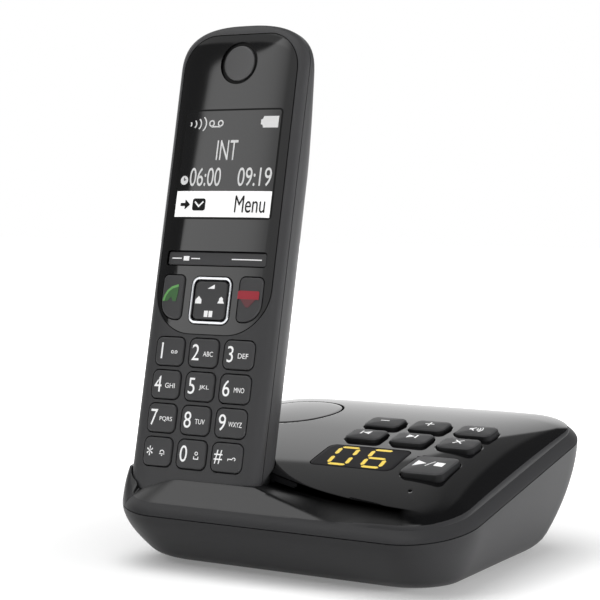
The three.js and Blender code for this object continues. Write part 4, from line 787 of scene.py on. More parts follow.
class HandsetForm:
    """Curves of the handset, worked out from its sizes, in its own frame: across, depth, along."""

    def __init__(self, handset):
        self.handset = handset

    def placed(self, shape):
        """A shape of the handset's frame, in the part's own frame."""
        points, faces = shape
        handset = self.handset
        return turned(points, -handset.lean, (handset.x, handset.y, handset.z)), faces

    def matrix(self):
        """The same place and lean, for a finished mesh."""
        handset = self.handset
        place = Matrix.Translation((handset.x, handset.y, handset.z))
        return place @ Matrix.Rotation(-handset.lean, 4, "X")

    @staticmethod
    def roundness(part, power):
        """Share of the full size at a share of a rounded end: a power curve from 0 at the tip to 1."""
        return (1 - (1 - np.clip(part, 0, 1)) ** power) ** (1 / power)

    def width_share(self, v):
        """Share of the full width at a height: the smaller of both ends' roundness."""
        handset = self.handset
        low = self.roundness(v / handset.bottom_end, handset.bottom_power)
        high = self.roundness((handset.tall - v) / handset.top_end, handset.top_power)
        return np.minimum(low, high)

    def depths(self, v, k):
        """Depth of the widest line behind the face, how far the face sinks, and the depth behind that line.

        Towards the top all three get smaller over the taper's length; at both ends by the width share.
        """
        handset = self.handset
        taper = self.roundness((handset.tall - v) / handset.taper, handset.taper_power)
        widest = handset.front * (handset.taper_front + (1 - handset.taper_front) * taper)
        sink = handset.front * (1 - handset.end_flat) * (1 - k)
        back = handset.back * (handset.end_flat + (1 - handset.end_flat) * k)
        return widest, sink, back * (handset.taper_back + (1 - handset.taper_back) * taper)

    def face(self, x, v):
        """Depth of the front face: a power curve across, shallower towards the rounded ends."""
        power = self.handset.face_power
        k = self.width_share(v)
        widest, sink, _ = self.depths(v, k)
        part = np.clip(np.abs(x) / (self.handset.half * k), 0, 1)
        return widest - (widest - sink) * (1 - part**power) ** (1 / power)

    def back_at(self, x, v):
        """Depth of the back behind the face plane, away from both ends."""
        widest, _, back = self.depths(v, 1)
        return widest + back * self.roundness(1 - abs(x) / self.handset.half, self.handset.back_power)

    def body(self, grow, fine=1.0):
        """Rings along the length: each is a power curve whose front and back have their own power.

        Round each ring the points bunch at the quarters by a smooth step of the fifth power, and along
        the length they bunch at both ends by the third power.
        """
        handset = self.handset
        u = np.linspace(0, 1, round(30 * fine), endpoint=False)
        quarter = (u**3 * (6 * u * u - 15 * u + 10)) * HALF_TURN / 2
        angle = np.concatenate([quarter + number * HALF_TURN / 2 for number in range(4)])
        c, d = np.cos(angle), np.sin(angle)
        power = np.where(d < 0, handset.face_power, handset.back_power)
        low = np.linspace(0.06, 1, round(18 * fine)) ** 3 * handset.bottom_end
        high = np.linspace(1, 0.06, round(24 * fine)) ** 3 * handset.top_end
        shoulder = np.linspace(handset.taper, handset.top_end, round(18 * fine))[:-1]
        v = np.concatenate([low, handset.tall - shoulder, handset.tall - high])[:, None]
        k = self.width_share(v)
        widest, sink, back = self.depths(v, k)
        depth = np.where(d < 0, widest - sink, back) + grow
        x = np.sign(c) * (handset.half + grow) * k * np.abs(c) ** (2 / power)
        y = widest + np.sign(d) * depth * np.abs(d) ** (2 / power)
        placed = v + np.where(v < handset.tall / 2, -grow, grow)
        return loft(np.stack([x, y, np.broadcast_to(placed, x.shape)], -1))

    def slab(self, outline, depth0, depth1):
        """A prism over an outline drawn across and along the face, between two depths."""
        points, faces = tower([(outline, -depth1), (outline, -depth0)])
        return facing(points), faces

    def rod(self, x, v, radius, depth0, depth1, count=48):
        """A round rod that stands on the face, between two depths."""
        return self.slab(circle(x, v, radius, count), depth0, depth1)

    def block_to(self, depth0, depth1):
        """A box wider and taller than the handset, between two depths."""
        far = self.handset.tall + OVERRUN
        return block((-far, depth0, -far), (far, depth1, far))

    def standing(self, shape):
        """A shape drawn across, along and out of the face, set on the curved face."""
        points, faces = shape
        x, v, out = points.T
        return self.placed((np.stack([x, self.face(x, v) - out, v], -1), faces))

    def bent(self, shape):
        """A shape drawn across, along and out, whose upper part follows the curved face."""
        points, faces = shape
        x, v, out = points.T
        fall = np.where(out > -self.handset.panel, self.face(x, v), 0)
        return self.placed((np.stack([x, fall - out, v], -1), faces))


# Markings: flat outlines in millimetres, raised a little from the surface they are printed on


def bar(x0, y0, x1, y1):
    """An upright rectangle between two corners."""
    return np.array([[x0, y0], [x1, y0], [x1, y1], [x0, y1]])


def stroke(points, width):
    """An open line with a width: every point moved to both sides along the mean of its two normals."""
    points = np.array(points, float)
    steps = np.diff(points, axis=0)
    steps /= np.linalg.norm(steps, axis=1, keepdims=True)
    normals = np.column_stack([-steps[:, 1], steps[:, 0]])
    both = np.concatenate([normals[:1], normals[:-1] + normals[1:], normals[-1:]])
    both /= np.maximum((both**2).sum(1, keepdims=True), 0.5) ** 0.5
    cosine = np.concatenate([[1], np.clip((both[1:-1] * normals[1:]).sum(1), 0.5, 1), [1]])[:, None]
    side = both * width / 2 / cosine
    return np.concatenate([points + side, (points - side)[::-1]])


def arc(x, y, radius, degrees0, degrees1, count=12):
    """Points along a circle between two angles."""
    angle = np.radians(np.linspace(degrees0, degrees1, count))
    return np.column_stack([x + radius * np.cos(angle), y + radius * np.sin(angle)])


def ring(x, y, radius, width, count=24):
    """Two loops: the fill leaves the inner one open."""
    return [arc(x, y, radius + side * width / 2, 0, 360, count)[:-1] for side in (1, -1)]


def moved(loops, x, y, scale=1.0):
    """Loops enlarged and then moved."""
    return [loop * scale + np.array([x, y]) for loop in loops]


def plate(loops, depth):
    """Filled outlines as a thin closed plate, from half its depth below nought to half above."""
    curve = bpy.data.curves.new("outline", "CURVE")
    curve.dimensions = "2D"
    curve.fill_mode = "BOTH"
    curve.extrude = depth / 2 * 1000
    for loop in loops:
        line = curve.splines.new("POLY")
        line.points.add(len(loop) - 1)
        flat = np.column_stack([loop, np.zeros(len(loop)), np.ones(len(loop))])
        line.points.foreach_set("co", flat.reshape(-1))
        line.use_cyclic_u = True
    return plate_from(curve)


def text_plate(words, height, depth, width=None, squeeze=0.85):
    """Characters as a thin closed plate around nought, of the given height and width in millimetres."""
    curve = bpy.data.curves.new("characters", "FONT")
    curve.body = words
    curve.size = height
    curve.extrude = depth / 2 * 1000
    points, faces = plate_from(curve)
    low, high = points.min(0), points.max(0)
    size = high - low
    tall = height * MM / size[1]
    wide = width * MM / size[0] if width else tall * squeeze
    return (points - (low + high) / 2) * np.array([wide, tall, 1]), faces


def plate_from(curve):
    """Mesh of a filled curve, its doubles merged, in metres."""
    thing = bpy.data.objects.new("helper", curve)
    bpy.context.scene.collection.objects.link(thing)
    graph = bpy.context.evaluated_depsgraph_get()
    mesh = bpy.data.meshes.new_from_object(thing.evaluated_get(graph))
    work = bmesh.new()
    work.from_mesh(mesh)
    bmesh.ops.remove_doubles(work, verts=work.verts, dist=1e-4)
    bmesh.ops.recalc_face_normals(work, faces=work.faces)
    bmesh.ops.triangulate(work, faces=work.faces)
    work.to_mesh(mesh)
    work.free()
    points = np.empty(len(mesh.vertices) * 3)
    mesh.vertices.foreach_get("co", points)
    faces = [list(polygon.vertices) for polygon in mesh.polygons]
    bpy.data.objects.remove(thing)
    bpy.data.curves.remove(curve)
    bpy.data.meshes.remove(mesh)
    return points.reshape(-1, 3) * MM, faces


def shifted(shape, x, y, z=0.0):
    """A shape moved by a distance."""
    points, faces = shape
    return points + np.array([x, y, z]), faces


def seven_segments(figure, width, height, thick, slant):
    """Loops of a slanted seven-segment figure, centred."""
    w, h, k = width / 2, height / 2, thick / 2
    cut = 1.1 * k

    def segment(x0, y0, x1, y1):
        """A bar from one place to another, set back from both, with pointed ends."""
        way = np.sign([x1 - x0, y1 - y0])
        side = way[::-1] * k
        low, high = np.array([x0, y0]) + way * cut, np.array([x1, y1]) - way * cut
        low_end, high_end = low + way * k, high - way * k
        return np.array([low, low_end + side, high_end + side, high, high_end - side, low_end - side])

    top, left, right = h - k, -w + k, w - k
    segments = {
        "a": segment(-w, top, w, top), "g": segment(-w, 0, w, 0), "d": segment(-w, -top, w, -top),
        "f": segment(left, 0, left, top), "b": segment(right, 0, right, top),
        "e": segment(left, -top, left, 0), "c": segment(right, -top, right, 0),
    }
    lean = np.array([[1, 0], [slant, 1]])
    return [segments[name] @ lean for name in {"0": "abcdef", "6": "acdefg"}[figure]]


def strips(low, high):
    """Upright strips between a lower and an upper outline, short enough to follow a curved cap."""
    low, high = np.array(low), np.array(high)
    longest, gap = 0.7, 0.01
    cuts = np.unique(np.concatenate([low[:, 0], high[:, 0], np.arange(low[0, 0], low[-1, 0], longest)]))
    foot, head = np.interp(cuts, *low.T), np.interp(cuts, *high.T)
    return [
        np.array([[a, foot_a], [b - gap, foot_b], [b - gap, head_b], [a, head_a]])
        for a, b, foot_a, foot_b, head_a, head_b in zip(cuts, cuts[1:], foot, foot[1:], head, head[1:])
    ]


# Upper side of the lifted receiver, and for each call key the dim filled part and the bright one

LIFTED = [[-2.9, -2.9], [-2.3, -1.1], [-1.3, 0.4], [0.3, 1.6], [2.7, 2.3]]
CALL_SYMBOLS = {
    "talk_key": (
        [np.array(LIFTED + [[2.7, -0.2], [2.2, -2.9], [0.9, -2.9], [0.2, -1.4], [-1.2, -2.9]])],
        [stroke(LIFTED, 0.75)],
    ),
    "end_key": (
        strips([(-2.8, -1.45), (-0.5, -4), (0.5, -4), (2.8, -1.45)], [(-2.8, -1.4), (2.8, -1.4)]),
        strips([(-3.9, -1.4), (3.9, -1.4)], [(-3.9, 0.9), (-3.5, 1.3), (3.5, 1.3), (3.9, 0.9)]),
    ),
}
CALL_PLACE = np.array([-0.4, 1.5]) * MM
BASE_SYMBOLS = {
    "key_minus": [bar(-1.6, -0.25, 1.6, 0.25)],
    "key_plus": [np.array([
        [-0.25, -1.6], [0.25, -1.6], [0.25, -0.25], [1.6, -0.25], [1.6, 0.25], [0.25, 0.25],
        [0.25, 1.6], [-0.25, 1.6], [-0.25, 0.25], [-1.6, 0.25], [-1.6, -0.25], [-0.25, -0.25],
    ])],
    "key_speaker": [
        np.array([[-2.2, -0.6], [-1.4, -0.6], [-0.3, -1.6], [-0.3, 1.6], [-1.4, 0.6], [-2.2, 0.6]]),
        stroke(arc(-0.6, 0, 1.3, -40, 40), 0.32), stroke(arc(-0.6, 0, 2.1, -42, 42), 0.32),
        stroke(arc(-0.6, 0, 2.9, -42, 42), 0.32),
    ],
    "key_previous": [bar(-1.9, -1.3, -1.3, 1.3), np.array([[-1.1, 0], [1.5, -1.4], [1.5, 1.4]])],
    "key_next": [np.array([[-1.5, -1.4], [1.1, 0], [-1.5, 1.4]]), bar(1.3, -1.3, 1.9, 1.3)],
    "key_delete": [np.array([
        [0, -0.35], [1.25, -1.6], [1.6, -1.25], [0.35, 0], [1.6, 1.25], [1.25, 1.6],
        [0, 0.35], [-1.25, 1.6], [-1.6, 1.25], [-0.35, 0], [-1.6, -1.25], [-1.25, -1.6],
    ])],
    "key_play_stop": [
        np.array([[-5, -2.4], [-1.2, 0], [-5, 2.4]]), stroke([[-0.7, -2], [1, 2]], 0.35),
        bar(1.8, -1.5, 4.7, 1.5),
    ],
}


# Finishes


class Nodes:
    """Short names for building a node tree."""

    def __init__(self, tree, keep=False):
        self.tree = tree
        if not keep:
            tree.nodes.clear()

    def add(self, kind, inputs=None, **settings):
        """A node with its settings, whose inputs are linked to sockets or given values."""
        node = self.tree.nodes.new(kind)
        for name, value in settings.items():
            setattr(node, name, value)
        for name, value in (inputs or {}).items():
            if isinstance(value, bpy.types.NodeSocket):
                self.tree.links.new(value, node.inputs[name])
            else:
                node.inputs[name].default_value = value
        return node

    def maths(self, operation, *values, clamp=False):
        inputs = dict(enumerate(values))
        return self.add("ShaderNodeMath", inputs, operation=operation, use_clamp=clamp).outputs[0]

    def times(self, *values):
        return reduce(partial(self.maths, "MULTIPLY"), values)

    def plus(self, *values):
        return reduce(partial(self.maths, "ADD"), values)

    def less(self, value, other):
        return self.maths("SUBTRACT", value, other)

    def most(self, *values):
        return reduce(partial(self.maths, "MAXIMUM"), values)

    def band(self, value, low, high, bottom=0.0, top=1.0, kind="SMOOTHSTEP"):
        """Smooth step of a value from one bound to the other."""
        inputs = {"Value": value, "From Min": low, "From Max": high, "To Min": bottom, "To Max": top}
        return self.add("ShaderNodeMapRange", inputs, interpolation_type=kind, clamp=True).outputs["Result"]

    def ramp(self, value, low, high, bottom, top):
        """Straight line between two values of a value held between two bounds."""
        return self.band(value, low, high, bottom, top, "LINEAR")

    def place(self):
        """Object coordinates, which are the part's own."""
        return self.add("ShaderNodeTexCoord").outputs["Object"]

    def colour_level(self, value, colour):
        """A colour whose value is multiplied."""
        return self.add("ShaderNodeHueSaturation", {"Value": value, "Color": colour}).outputs[0]


def moulded_group():
    """Node group for moulded plastic: a fine grain and a faint clouding that change colour and gloss."""
    group = bpy.data.node_groups.get("Moulded plastic")
    if group:
        return group
    group = bpy.data.node_groups.new("Moulded plastic", "ShaderNodeTree")
    number, tint = "NodeSocketFloat", "NodeSocketColor"
    sockets = [
        ("Vector", "NodeSocketVector", None), ("Colour", tint, (0.03, 0.03, 0.03, 1)),
        ("Roughness", number, 0.4), ("Grain size", number, 0.4 * MM), ("Clouding", number, 0.05),
    ]
    for name, kind, value in sockets:
        socket = group.interface.new_socket(name, in_out="INPUT", socket_type=kind)
        if value is not None:
            socket.default_value = value
    for name, kind in (("Colour", tint), ("Roughness", number), ("Height", number)):
        group.interface.new_socket(name, in_out="OUTPUT", socket_type=kind)
    nodes = Nodes(group)
    into = nodes.add("NodeGroupInput").outputs
    cloud_scale, cloud_gloss, grain_strength = 38.0, 0.5, 0.08

    def noise(scale, detail):
        """Noise over the piece, from 0 to 1."""
        inputs = {"Vector": into["Vector"], "Scale": scale, "Detail": detail}
        return nodes.add("ShaderNodeTexNoise", inputs).outputs["Fac"]

    grain = noise(nodes.maths("DIVIDE", 1.0, into["Grain size"]), 3.0)
    shift = nodes.times(nodes.less(noise(cloud_scale, 4.0), 0.5), into["Clouding"])
    fleck = nodes.times(nodes.less(grain, 0.5), grain_strength)
    colour = nodes.colour_level(nodes.plus(1.0, shift, fleck), into["Colour"])
    rough = nodes.maths("ADD", into["Roughness"], nodes.times(shift, cloud_gloss), clamp=True)
    nodes.add("NodeGroupOutput", {"Colour": colour, "Roughness": rough, "Height": grain})
    return group


def new_material(name):
    """A material without nodes yet, and the builder of its tree."""
    material = bpy.data.materials.new(name)
    material.use_nodes = True
    return material, Nodes(material.node_tree)


def node_of(material, kind):
    """The material's one node of a kind."""
    return next(node for node in material.node_tree.nodes if node.type == kind)


def plastic(name, colour, roughness, grain=0.4, bump=0.02, clouding=0.1, shine=0.5, metallic=0.0):
    """Moulded plastic: a Principled shader whose colour, roughness and bump come from the group."""
    if name in bpy.data.materials:
        return bpy.data.materials[name]
    material, nodes = new_material(name)
    mapping = nodes.add("ShaderNodeMapping", {"Vector": nodes.place()}).outputs[0]
    group = nodes.add("ShaderNodeGroup", node_tree=moulded_group())
    nodes.tree.links.new(mapping, group.inputs["Vector"])
    group.inputs["Colour"].default_value = (*colour, 1)
    group.inputs["Roughness"].default_value = roughness
    group.inputs["Grain size"].default_value = grain * MM
    group.inputs["Clouding"].default_value = clouding
    shader = nodes.add("ShaderNodeBsdfPrincipled", {
        "Base Color": group.outputs["Colour"], "Roughness": group.outputs["Roughness"],
        "Specular IOR Level": shine, "Metallic": metallic,
    })
    if bump:
        inputs = {"Strength": bump, "Distance": 0.05 * MM, "Height": group.outputs["Height"]}
        relief = nodes.add("ShaderNodeBump", inputs).outputs[0]
        nodes.tree.links.new(relief, shader.inputs["Normal"])
    nodes.add("ShaderNodeOutputMaterial", {"Surface": shader.outputs[0]})
    return material


def metal(name, colour, roughness):
    """Plated metal with a fine grain."""
    return plastic(name, colour, roughness, grain=0.6, bump=0.03, clouding=0.12, metallic=1.0)


def board(name):
    """Circuit board: green lacquer in two shades, as rows of bricks between lighter tracks."""
    if name in bpy.data.materials:
        return bpy.data.materials[name]
    material, nodes = new_material(name)
    lacquer = nodes.add("ShaderNodeTexBrick", {
        "Vector": nodes.place(), "Scale": 160.0, "Mortar Size": 0.04,
        "Color1": (0.012, 0.11, 0.035, 1), "Color2": (0.016, 0.135, 0.045, 1),
        "Mortar": (0.05, 0.25, 0.09, 1),
    }).outputs["Color"]
    shader = nodes.add("ShaderNodeBsdfPrincipled", {"Base Color": lacquer, "Roughness": 0.35})
    nodes.add("ShaderNodeOutputMaterial", {"Surface": shader.outputs[0]})
    return material


def glowing(name, colour, strength, roughness=0.3):
    """Printed or lit characters: a faintly clouded colour with some light of its own."""
    material = plastic(name, colour, roughness, bump=0.0, clouding=0.06)
    shader, group = node_of(material, "BSDF_PRINCIPLED"), node_of(material, "GROUP")
    material.node_tree.links.new(group.outputs["Colour"], shader.inputs["Emission Color"])
    shader.inputs["Emission Strength"].default_value = strength
    return material


def front_black_painted_shade(name, colour, base):
    """Black plastic of the base's front: gloss on the dome, satin before the crease, painted shade in the
    crease.

    The place ahead of the crease is the crease's parabola less y. Shine and colour fade from nought in the
    crease to full on the dome and at the shelf's front, and fall to a share along the shelf to the right;
    the ramp, before its straight ridge, keeps both. The fall of the colour is painted shade; the crease is
    also dull.
    """
    material = plastic(name, colour, 0.3, grain=6, bump=0.0, clouding=0.08)
    shader = node_of(material, "BSDF_PRINCIPLED")
    if shader.inputs["Specular IOR Level"].links:
        return material
    nodes = Nodes(material.node_tree, keep=True)
    x, y, _ = nodes.add("ShaderNodeSeparateXYZ", {0: nodes.place()}).outputs
    soft, dullest, gloss, full_shine = 0.3 * MM, 0.25, 0.05, 0.5
    shelf_front, fade_start, fade_end, right_share = 5 * MM, 5 * MM, 35 * MM, 0.3
    run_start, run_end = base.crease_end_x - 2 * MM, base.crease_end_x + 7 * MM
    reach = nodes.ramp(x, base.crease_start_x, base.crease_end_x, 1, 0)
    fall = nodes.times(reach, reach, base.crease_start_y - base.crease_end_y)
    ahead = nodes.less(nodes.plus(fall, base.crease_end_y), y)
    ridge = nodes.ramp(x, base.ramp_x, base.ridge_x, base.ramp_y, base.band_inset - base.half_depth)
    on_ramp = nodes.band(nodes.less(y, ridge), soft, -soft)
    on_dome = nodes.band(ahead, -soft, -3 * soft)
    to_right = nodes.ramp(x, fade_start, fade_end, 1, right_share)
    on_shelf = nodes.times(nodes.band(ahead, 2 * soft, shelf_front), to_right)
    run_out = nodes.band(x, run_start, run_end)
    shade = nodes.most(on_ramp, on_dome, on_shelf, run_out)
    dull = nodes.times(nodes.ramp(ahead, -soft, soft, 0, dullest), nodes.ramp(run_out, 0, 1, 1, 0))
    # Painted shade: the base colour is darkened by the same level as the shine, to black in the crease.
    tint = nodes.colour_level(shade, shader.inputs["Base Color"].links[0].from_socket)
    nodes.tree.links.new(tint, shader.inputs["Base Color"])
    nodes.tree.links.new(nodes.times(shade, full_shine), shader.inputs["Specular IOR Level"])
    nodes.tree.links.new(nodes.plus(dull, gloss), shader.inputs["Roughness"])
    return material


def finishes(scene):
    """All materials by name, made once."""
    paints = scene.machine_finishes
    polished = {"grain": 6, "bump": 0.0, "clouding": 0.08}
    shell = {"grain": 0.25, "bump": 0.12}
    touched = {"grain": 0.22, "bump": 0.1}
    return {
        "gloss_black": plastic("Gloss black", paints.gloss, 0.05, **polished),
        "wall_black": plastic("Wall black", paints.gloss, 0.6, grain=6, bump=0.0, shine=0.05),
        "front_black_painted_shade": front_black_painted_shade("Front black", paints.gloss, scene.machine_base),
        "panel": plastic("Gloss panel", paints.gloss, 0.06, **polished),
        "base_grey": plastic("Satin base grey", paints.satin, 0.42, shine=0.18, **shell),
        "handset_grey": plastic("Satin handset grey", paints.casing, 0.42, shine=0.3, **shell),
        "key_grey": plastic("Satin key grey", paints.key, 0.46, shine=0.35, **touched),
        # Painted shade on the sides of the base's keys.
        "key_side_painted_shade": plastic("Satin key side", paints.key_side_painted_shade, 0.5, shine=0.2, **touched),
        "clear_dark": plastic("Smoked window", paints.window, 0.5, grain=5, bump=0.0, shine=0.08),
        "silver_trim": metal("Silver trim", paints.silver, 0.28),
        "circuit_board": board("Circuit board"),
        "silicone": plastic("Silicone", (0.19, 0.2, 0.21), 0.6, grain=0.6, bump=0.1),
        "metal": metal("Plated metal", (0.62, 0.6, 0.55), 0.3),
        "rubber": plastic("Rubber", (0.012, 0.012, 0.012), 0.8, grain=0.5, bump=0.2),
        "black_plastic": plastic("Black plastic", (0.014, 0.014, 0.015), 0.5, grain=0.4, bump=0.1),
        "cell_wrap": plastic("Cell wrap", (0.03, 0.2, 0.08), 0.32, grain=1.5, bump=0.02),
        "display_block": plastic("Display block", (0.018, 0.014, 0.01), 0.35, grain=1, bump=0.03),
        "amber": glowing("Amber digits", paints.amber, 0.35),
        "screen": plastic("Screen", paints.screen, 0.07, grain=0.3, bump=0.0, clouding=0.05),
        "screen_edge": plastic("Screen edge", (0.006, 0.006, 0.006), 0.3, grain=0.3, bump=0.0, shine=0.1),
        "paper": glowing("Lit screen bar", paints.white, 0.4, 0.45),
        "characters": glowing("Screen characters", paints.characters, 0.2, 0.45),
        "white": glowing("White marking", paints.white, 0.15, 0.45),
        "green": glowing("Green marking", paints.green, 0.1, 0.45),
        "dark_green": glowing("Dim green marking", paints.dark_green, 0.1, 0.45),
        "dark_red": glowing("Dim red marking", paints.dark_red, 0.1, 0.45),
        "red": glowing("Red marking", paints.red, 0.1, 0.45),
        "ear": plastic("Earpiece disc", (0.055, 0.055, 0.056), 0.35, grain=0.5, bump=0.05),
    }


# Operators: one for each piece or group of like pieces


class Builder:
    """What the operators share: forms, sizes and finishes, and running their own build function."""

    bl_options = {"REGISTER", "UNDO"}

    def execute(self, context):
        scene = context.scene
        self.form, self.phone = BaseForm(scene.machine_base), HandsetForm(scene.machine_handset)
        self.deck, self.cradle, self.looks = scene.machine_deck, scene.machine_cradle, finishes(scene)
        self.build()
        return {"FINISHED"}


class OBJECT_OT_machine_cad_finishes(Builder, Operator):
    """Give every carried-over solid the finish of its material slot"""

    bl_idname = "object.machine_cad_finishes"
    bl_label = "Finish the carried-over solids"

    def build(self):
        for entry in frame["record"]["subparts"]:
            mesh = frame["nodes"][entry["node"]].data
            mesh.materials.clear()
            mesh.materials.append(self.looks[entry["material_slot"]])


def wider(outline_of, play):
    """The same outlines with a clearance around them."""
    return lambda grow: outline_of(grow=play + grow)


def deck_keys(deck):
    """Name, place and half sizes of each key of the base, in the deck's plane."""
    rows = [("key_previous", "key_next", "key_delete"), ("key_minus", "key_plus", "key_speaker")]
    keys = []
    for row, names in enumerate(rows):
        for column, name in enumerate(names):
            x, y = deck.column_x + column * deck.pitch_x, deck.row_y + row * deck.pitch_y
            keys.append((name, x, y, deck.small_x, deck.small_y))
    return keys + [("key_play_stop", deck.play_x, deck.play_y, deck.play_half_x, deck.play_half_y)]


def paging_outline(deck):
    """Outlines of the round paging key by growth."""
    return partial(circle, deck.paging_x, deck.paging_y, deck.paging_radius, 160)


def window_outline(deck):
    """Outlines of the message display's window by growth."""
    place = deck.window_x, deck.window_y
    return partial(even_rect, *place, deck.window_half_x, deck.window_half_y, deck.corner, sides=24)


class OBJECT_OT_machine_base_top(Builder, Operator):
    """Build the upper shell of the base with its dome, crease, ramp, rim, pocket and holes"""

    bl_idname = "object.machine_base_top"
    bl_label = "Upper shell of the base"

    def build(self):
        form, phone, deck = self.form, self.phone, self.deck
        base = form.base
        skin = new_object("base_top", form.upper(0, 0, 0, -base.split / 2))
        pocket_wall = self.pocket_wall()
        combine(skin, [form.upper(base.wall, base.wall, base.wall, OVERRUN, dense=0.5)])
        combine(skin, [pocket_wall], "UNION")
        keys = [partial(even_rect, *place, deck.corner, sides=16) for _, *place in deck_keys(deck)]
        holes = [form.dome_hole(wider(outline, deck.play), deck.lip) for outline in keys]
        microphone = partial(circle, deck.microphone_x, deck.microphone_y, deck.microphone_hole, 24)
        holes += [
            form.dome_hole(wider(paging_outline(deck), deck.paging_play), deck.lip * 0.4),
            form.dome_hole(wider(window_outline(deck), phone.handset.gap), 0),
            form.dome_hole(microphone, deck.lip * 0.5),
        ]
        combine(skin, [phone.placed(phone.body(self.cradle.play)), *self.slots(), join(holes)])
        self.split_finish(skin.data)
        kinds = [self.looks[name] for name in ("gloss_black", "base_grey", "front_black_painted_shade", "wall_black")]
        finish_piece(skin, "base", kinds, ["base_upper_shell"], sharp=30)

    def pocket_wall(self):
        """Outside of the pocket: the handset's form grown by play and wall, kept inside the casing."""
        form, cradle, base = self.form, self.cradle, self.form.base
        inset = base.wall + base.split
        reach = new_object("reach", form.upper(0, 0, inset, base.seam_height, dense=0.4))
        inside = form.lower(inset, base.floor + base.floor_wall, OVERRUN, 0.01 * MM, count=30, levels=14)
        combine(reach, [inside], "INTERSECT")
        combine(reach, [form.upper(0, 0, 0, -base.split / 2)], "UNION")
        wall = new_object("pocket", self.phone.placed(self.phone.body(cradle.play + cradle.wall)))
        return combine(wall, [reach], "INTERSECT")

    def slots(self):
        """Openings in the pocket's floor for the charging contacts."""
        handset, cradle = self.phone.handset, self.cradle
        c, s = math.cos(handset.lean), math.sin(handset.lean)
        middle = handset.y + cradle.contact_depth * c + handset.pad_recess * s
        floor = handset.z - cradle.contact_depth * s - cradle.play * c
        half, reach = cradle.contact_width / 2 + cradle.slot_play, cradle.contact_hook / 2 + cradle.slot_play
        low, high = floor - OVERRUN, floor + cradle.wall
        places = [handset.x + side * cradle.contact_spread for side in (-1, 1)]
        return [block((x - half, middle - reach, low), (x + half, middle + reach, high)) for x in places]

    def split_finish(self, mesh):
        """Finish of each face: satin outside the crest, the front's black around and before the crease.

        Faces that stand upright well inside the crest are walls of holes and of the pocket. On the right
        the satin band reaches a little further in.
        """
        form = self.form
        x, y, _ = face_values(mesh, "center").T
        rise = face_values(mesh, "normal")[:, 2]
        steep, hair, margin = 0.3, 0.02 * MM, 3 * MM
        out_x = np.maximum(np.abs(x) - (form.crest_x - form.crest_corner), 0)
        out_y = np.maximum(np.abs(y) - (form.crest_y - form.crest_corner), 0)
        out = np.hypot(out_x, out_y)
        right_inset, right_from, past_end = 0.6 * MM, 30 * MM, 8 * MM
        beyond = out > form.crest_corner + hair - right_inset * np.clip(x / right_from, 0, 1)
        front = (x < form.base.crease_end_x + past_end) & (form.crease(x) - y > -margin)
        walls = (rise < steep) & (out < form.crest_corner - margin)
        # Faces around and before the crease take the front's black, whose colour holds the painted shade of
        # the crease.
        kind = np.where(beyond, 1, np.where(walls, 3, np.where(front, 2, 0)))
        mesh.polygons.foreach_set("material_index", kind.astype(np.int32))


class OBJECT_OT_machine_base_bottom(Builder, Operator):
    """Build the lower shell of the base with its recesses, sound holes and rear windows"""

    bl_idname = "object.machine_base_bottom"
    bl_label = "Lower shell of the base"

    def build(self):
        form, phone, cradle, base = self.form, self.phone, self.cradle, self.form.base
        floor, sink = base.floor + base.floor_wall, 0.3 * MM
        shell = new_object("base_bottom", form.lower(0, base.floor, -base.split / 2, base.foot_round))
        combine(shell, [form.lower(base.wall, floor, OVERRUN, base.inner_round)])
        screws = [(side * cradle.screw_x, cradle.screw_y) for side in (-1, 1)]
        tubes = [post(*place, cradle.screw_tube, floor - sink, cradle.tube_top) for place in screws]
        combine(shell, [join(tubes)], "UNION")
        wells = [post(*place, cradle.screw_well, -OVERRUN, cradle.screw_seat) for place in screws]
        bores = [post(*place, cradle.screw_bore, -OVERRUN, cradle.tube_top + OVERRUN) for place in screws]
        radius, top = cradle.foot_radius + cradle.foot_play, base.floor + cradle.foot_recess
        feet = [post(*place, radius, -OVERRUN, top) for place in foot_places(cradle)]
        grid = np.arange(-2, 3) * cradle.sound_pitch
        sound = [
            post(cradle.speaker_x + x, cradle.speaker_y + y, cradle.sound_radius, -OVERRUN, floor + sink, 24)
            for x in grid for y in grid if math.hypot(x, y) <= cradle.speaker_reach
        ]
        low, behind, high = cradle.socket_low, base.half_depth + OVERRUN, cradle.socket_high
        windows = [
            block((x - half, cradle.socket_back, low), (x + half, behind, high))
            for x, half in ((cradle.socket_x, cradle.line_half), (-cradle.socket_x, cradle.power_half))
        ]
        pocket = phone.placed(phone.body(cradle.play + cradle.wall + phone.handset.gap))
        combine(shell, [join(wells + feet + sound + windows), join(bores), pocket])
        finish_piece(shell, "base", self.looks["base_grey"], ["base_lower_shell"])


def foot_places(cradle):
    """Places of the four feet: front left, front right, rear left, rear right."""
    return [(x * cradle.foot_x, y * cradle.foot_y) for y in (-1, 1) for x in (-1, 1)]


class OBJECT_OT_machine_feet(Builder, Operator):
    """Build the rubber feet with a rounded edge"""

    bl_idname = "object.machine_feet"
    bl_label = "Rubber feet"

    def build(self):
        radius, soft = self.cradle.foot_radius, self.cradle.foot_edge
        names = ["foot_front_left", "foot_front_right", "foot_rear_left", "foot_rear_right"]
        for name, (x, y) in zip(names, foot_places(self.cradle)):
            steps = [(circle(x, y, radius - soft), 0.0)]
            for angle in np.linspace(0.3, HALF_TURN / 2, 5):
                inset, height = soft * (1 - math.sin(angle)), soft * (1 - math.cos(angle))
                steps.append((circle(x, y, radius - inset), height))
            steps.append((circle(x, y, radius), self.cradle.foot_height))
            foot = new_object("rubber_" + name, tower(steps))
            finish_piece(foot, "base", self.looks["rubber"], [name])


def on_crown(shape, half_x, half_y, top, crown):
    """A mark raised onto a key's top, which falls from its middle by the square of the share outwards."""
    points, faces = shape
    part = np.maximum(np.abs(points[:, 0]) / half_x, np.abs(points[:, 1]) / half_y)
    return points + np.outer(top - crown * part**2, (0, 0, 1)), faces


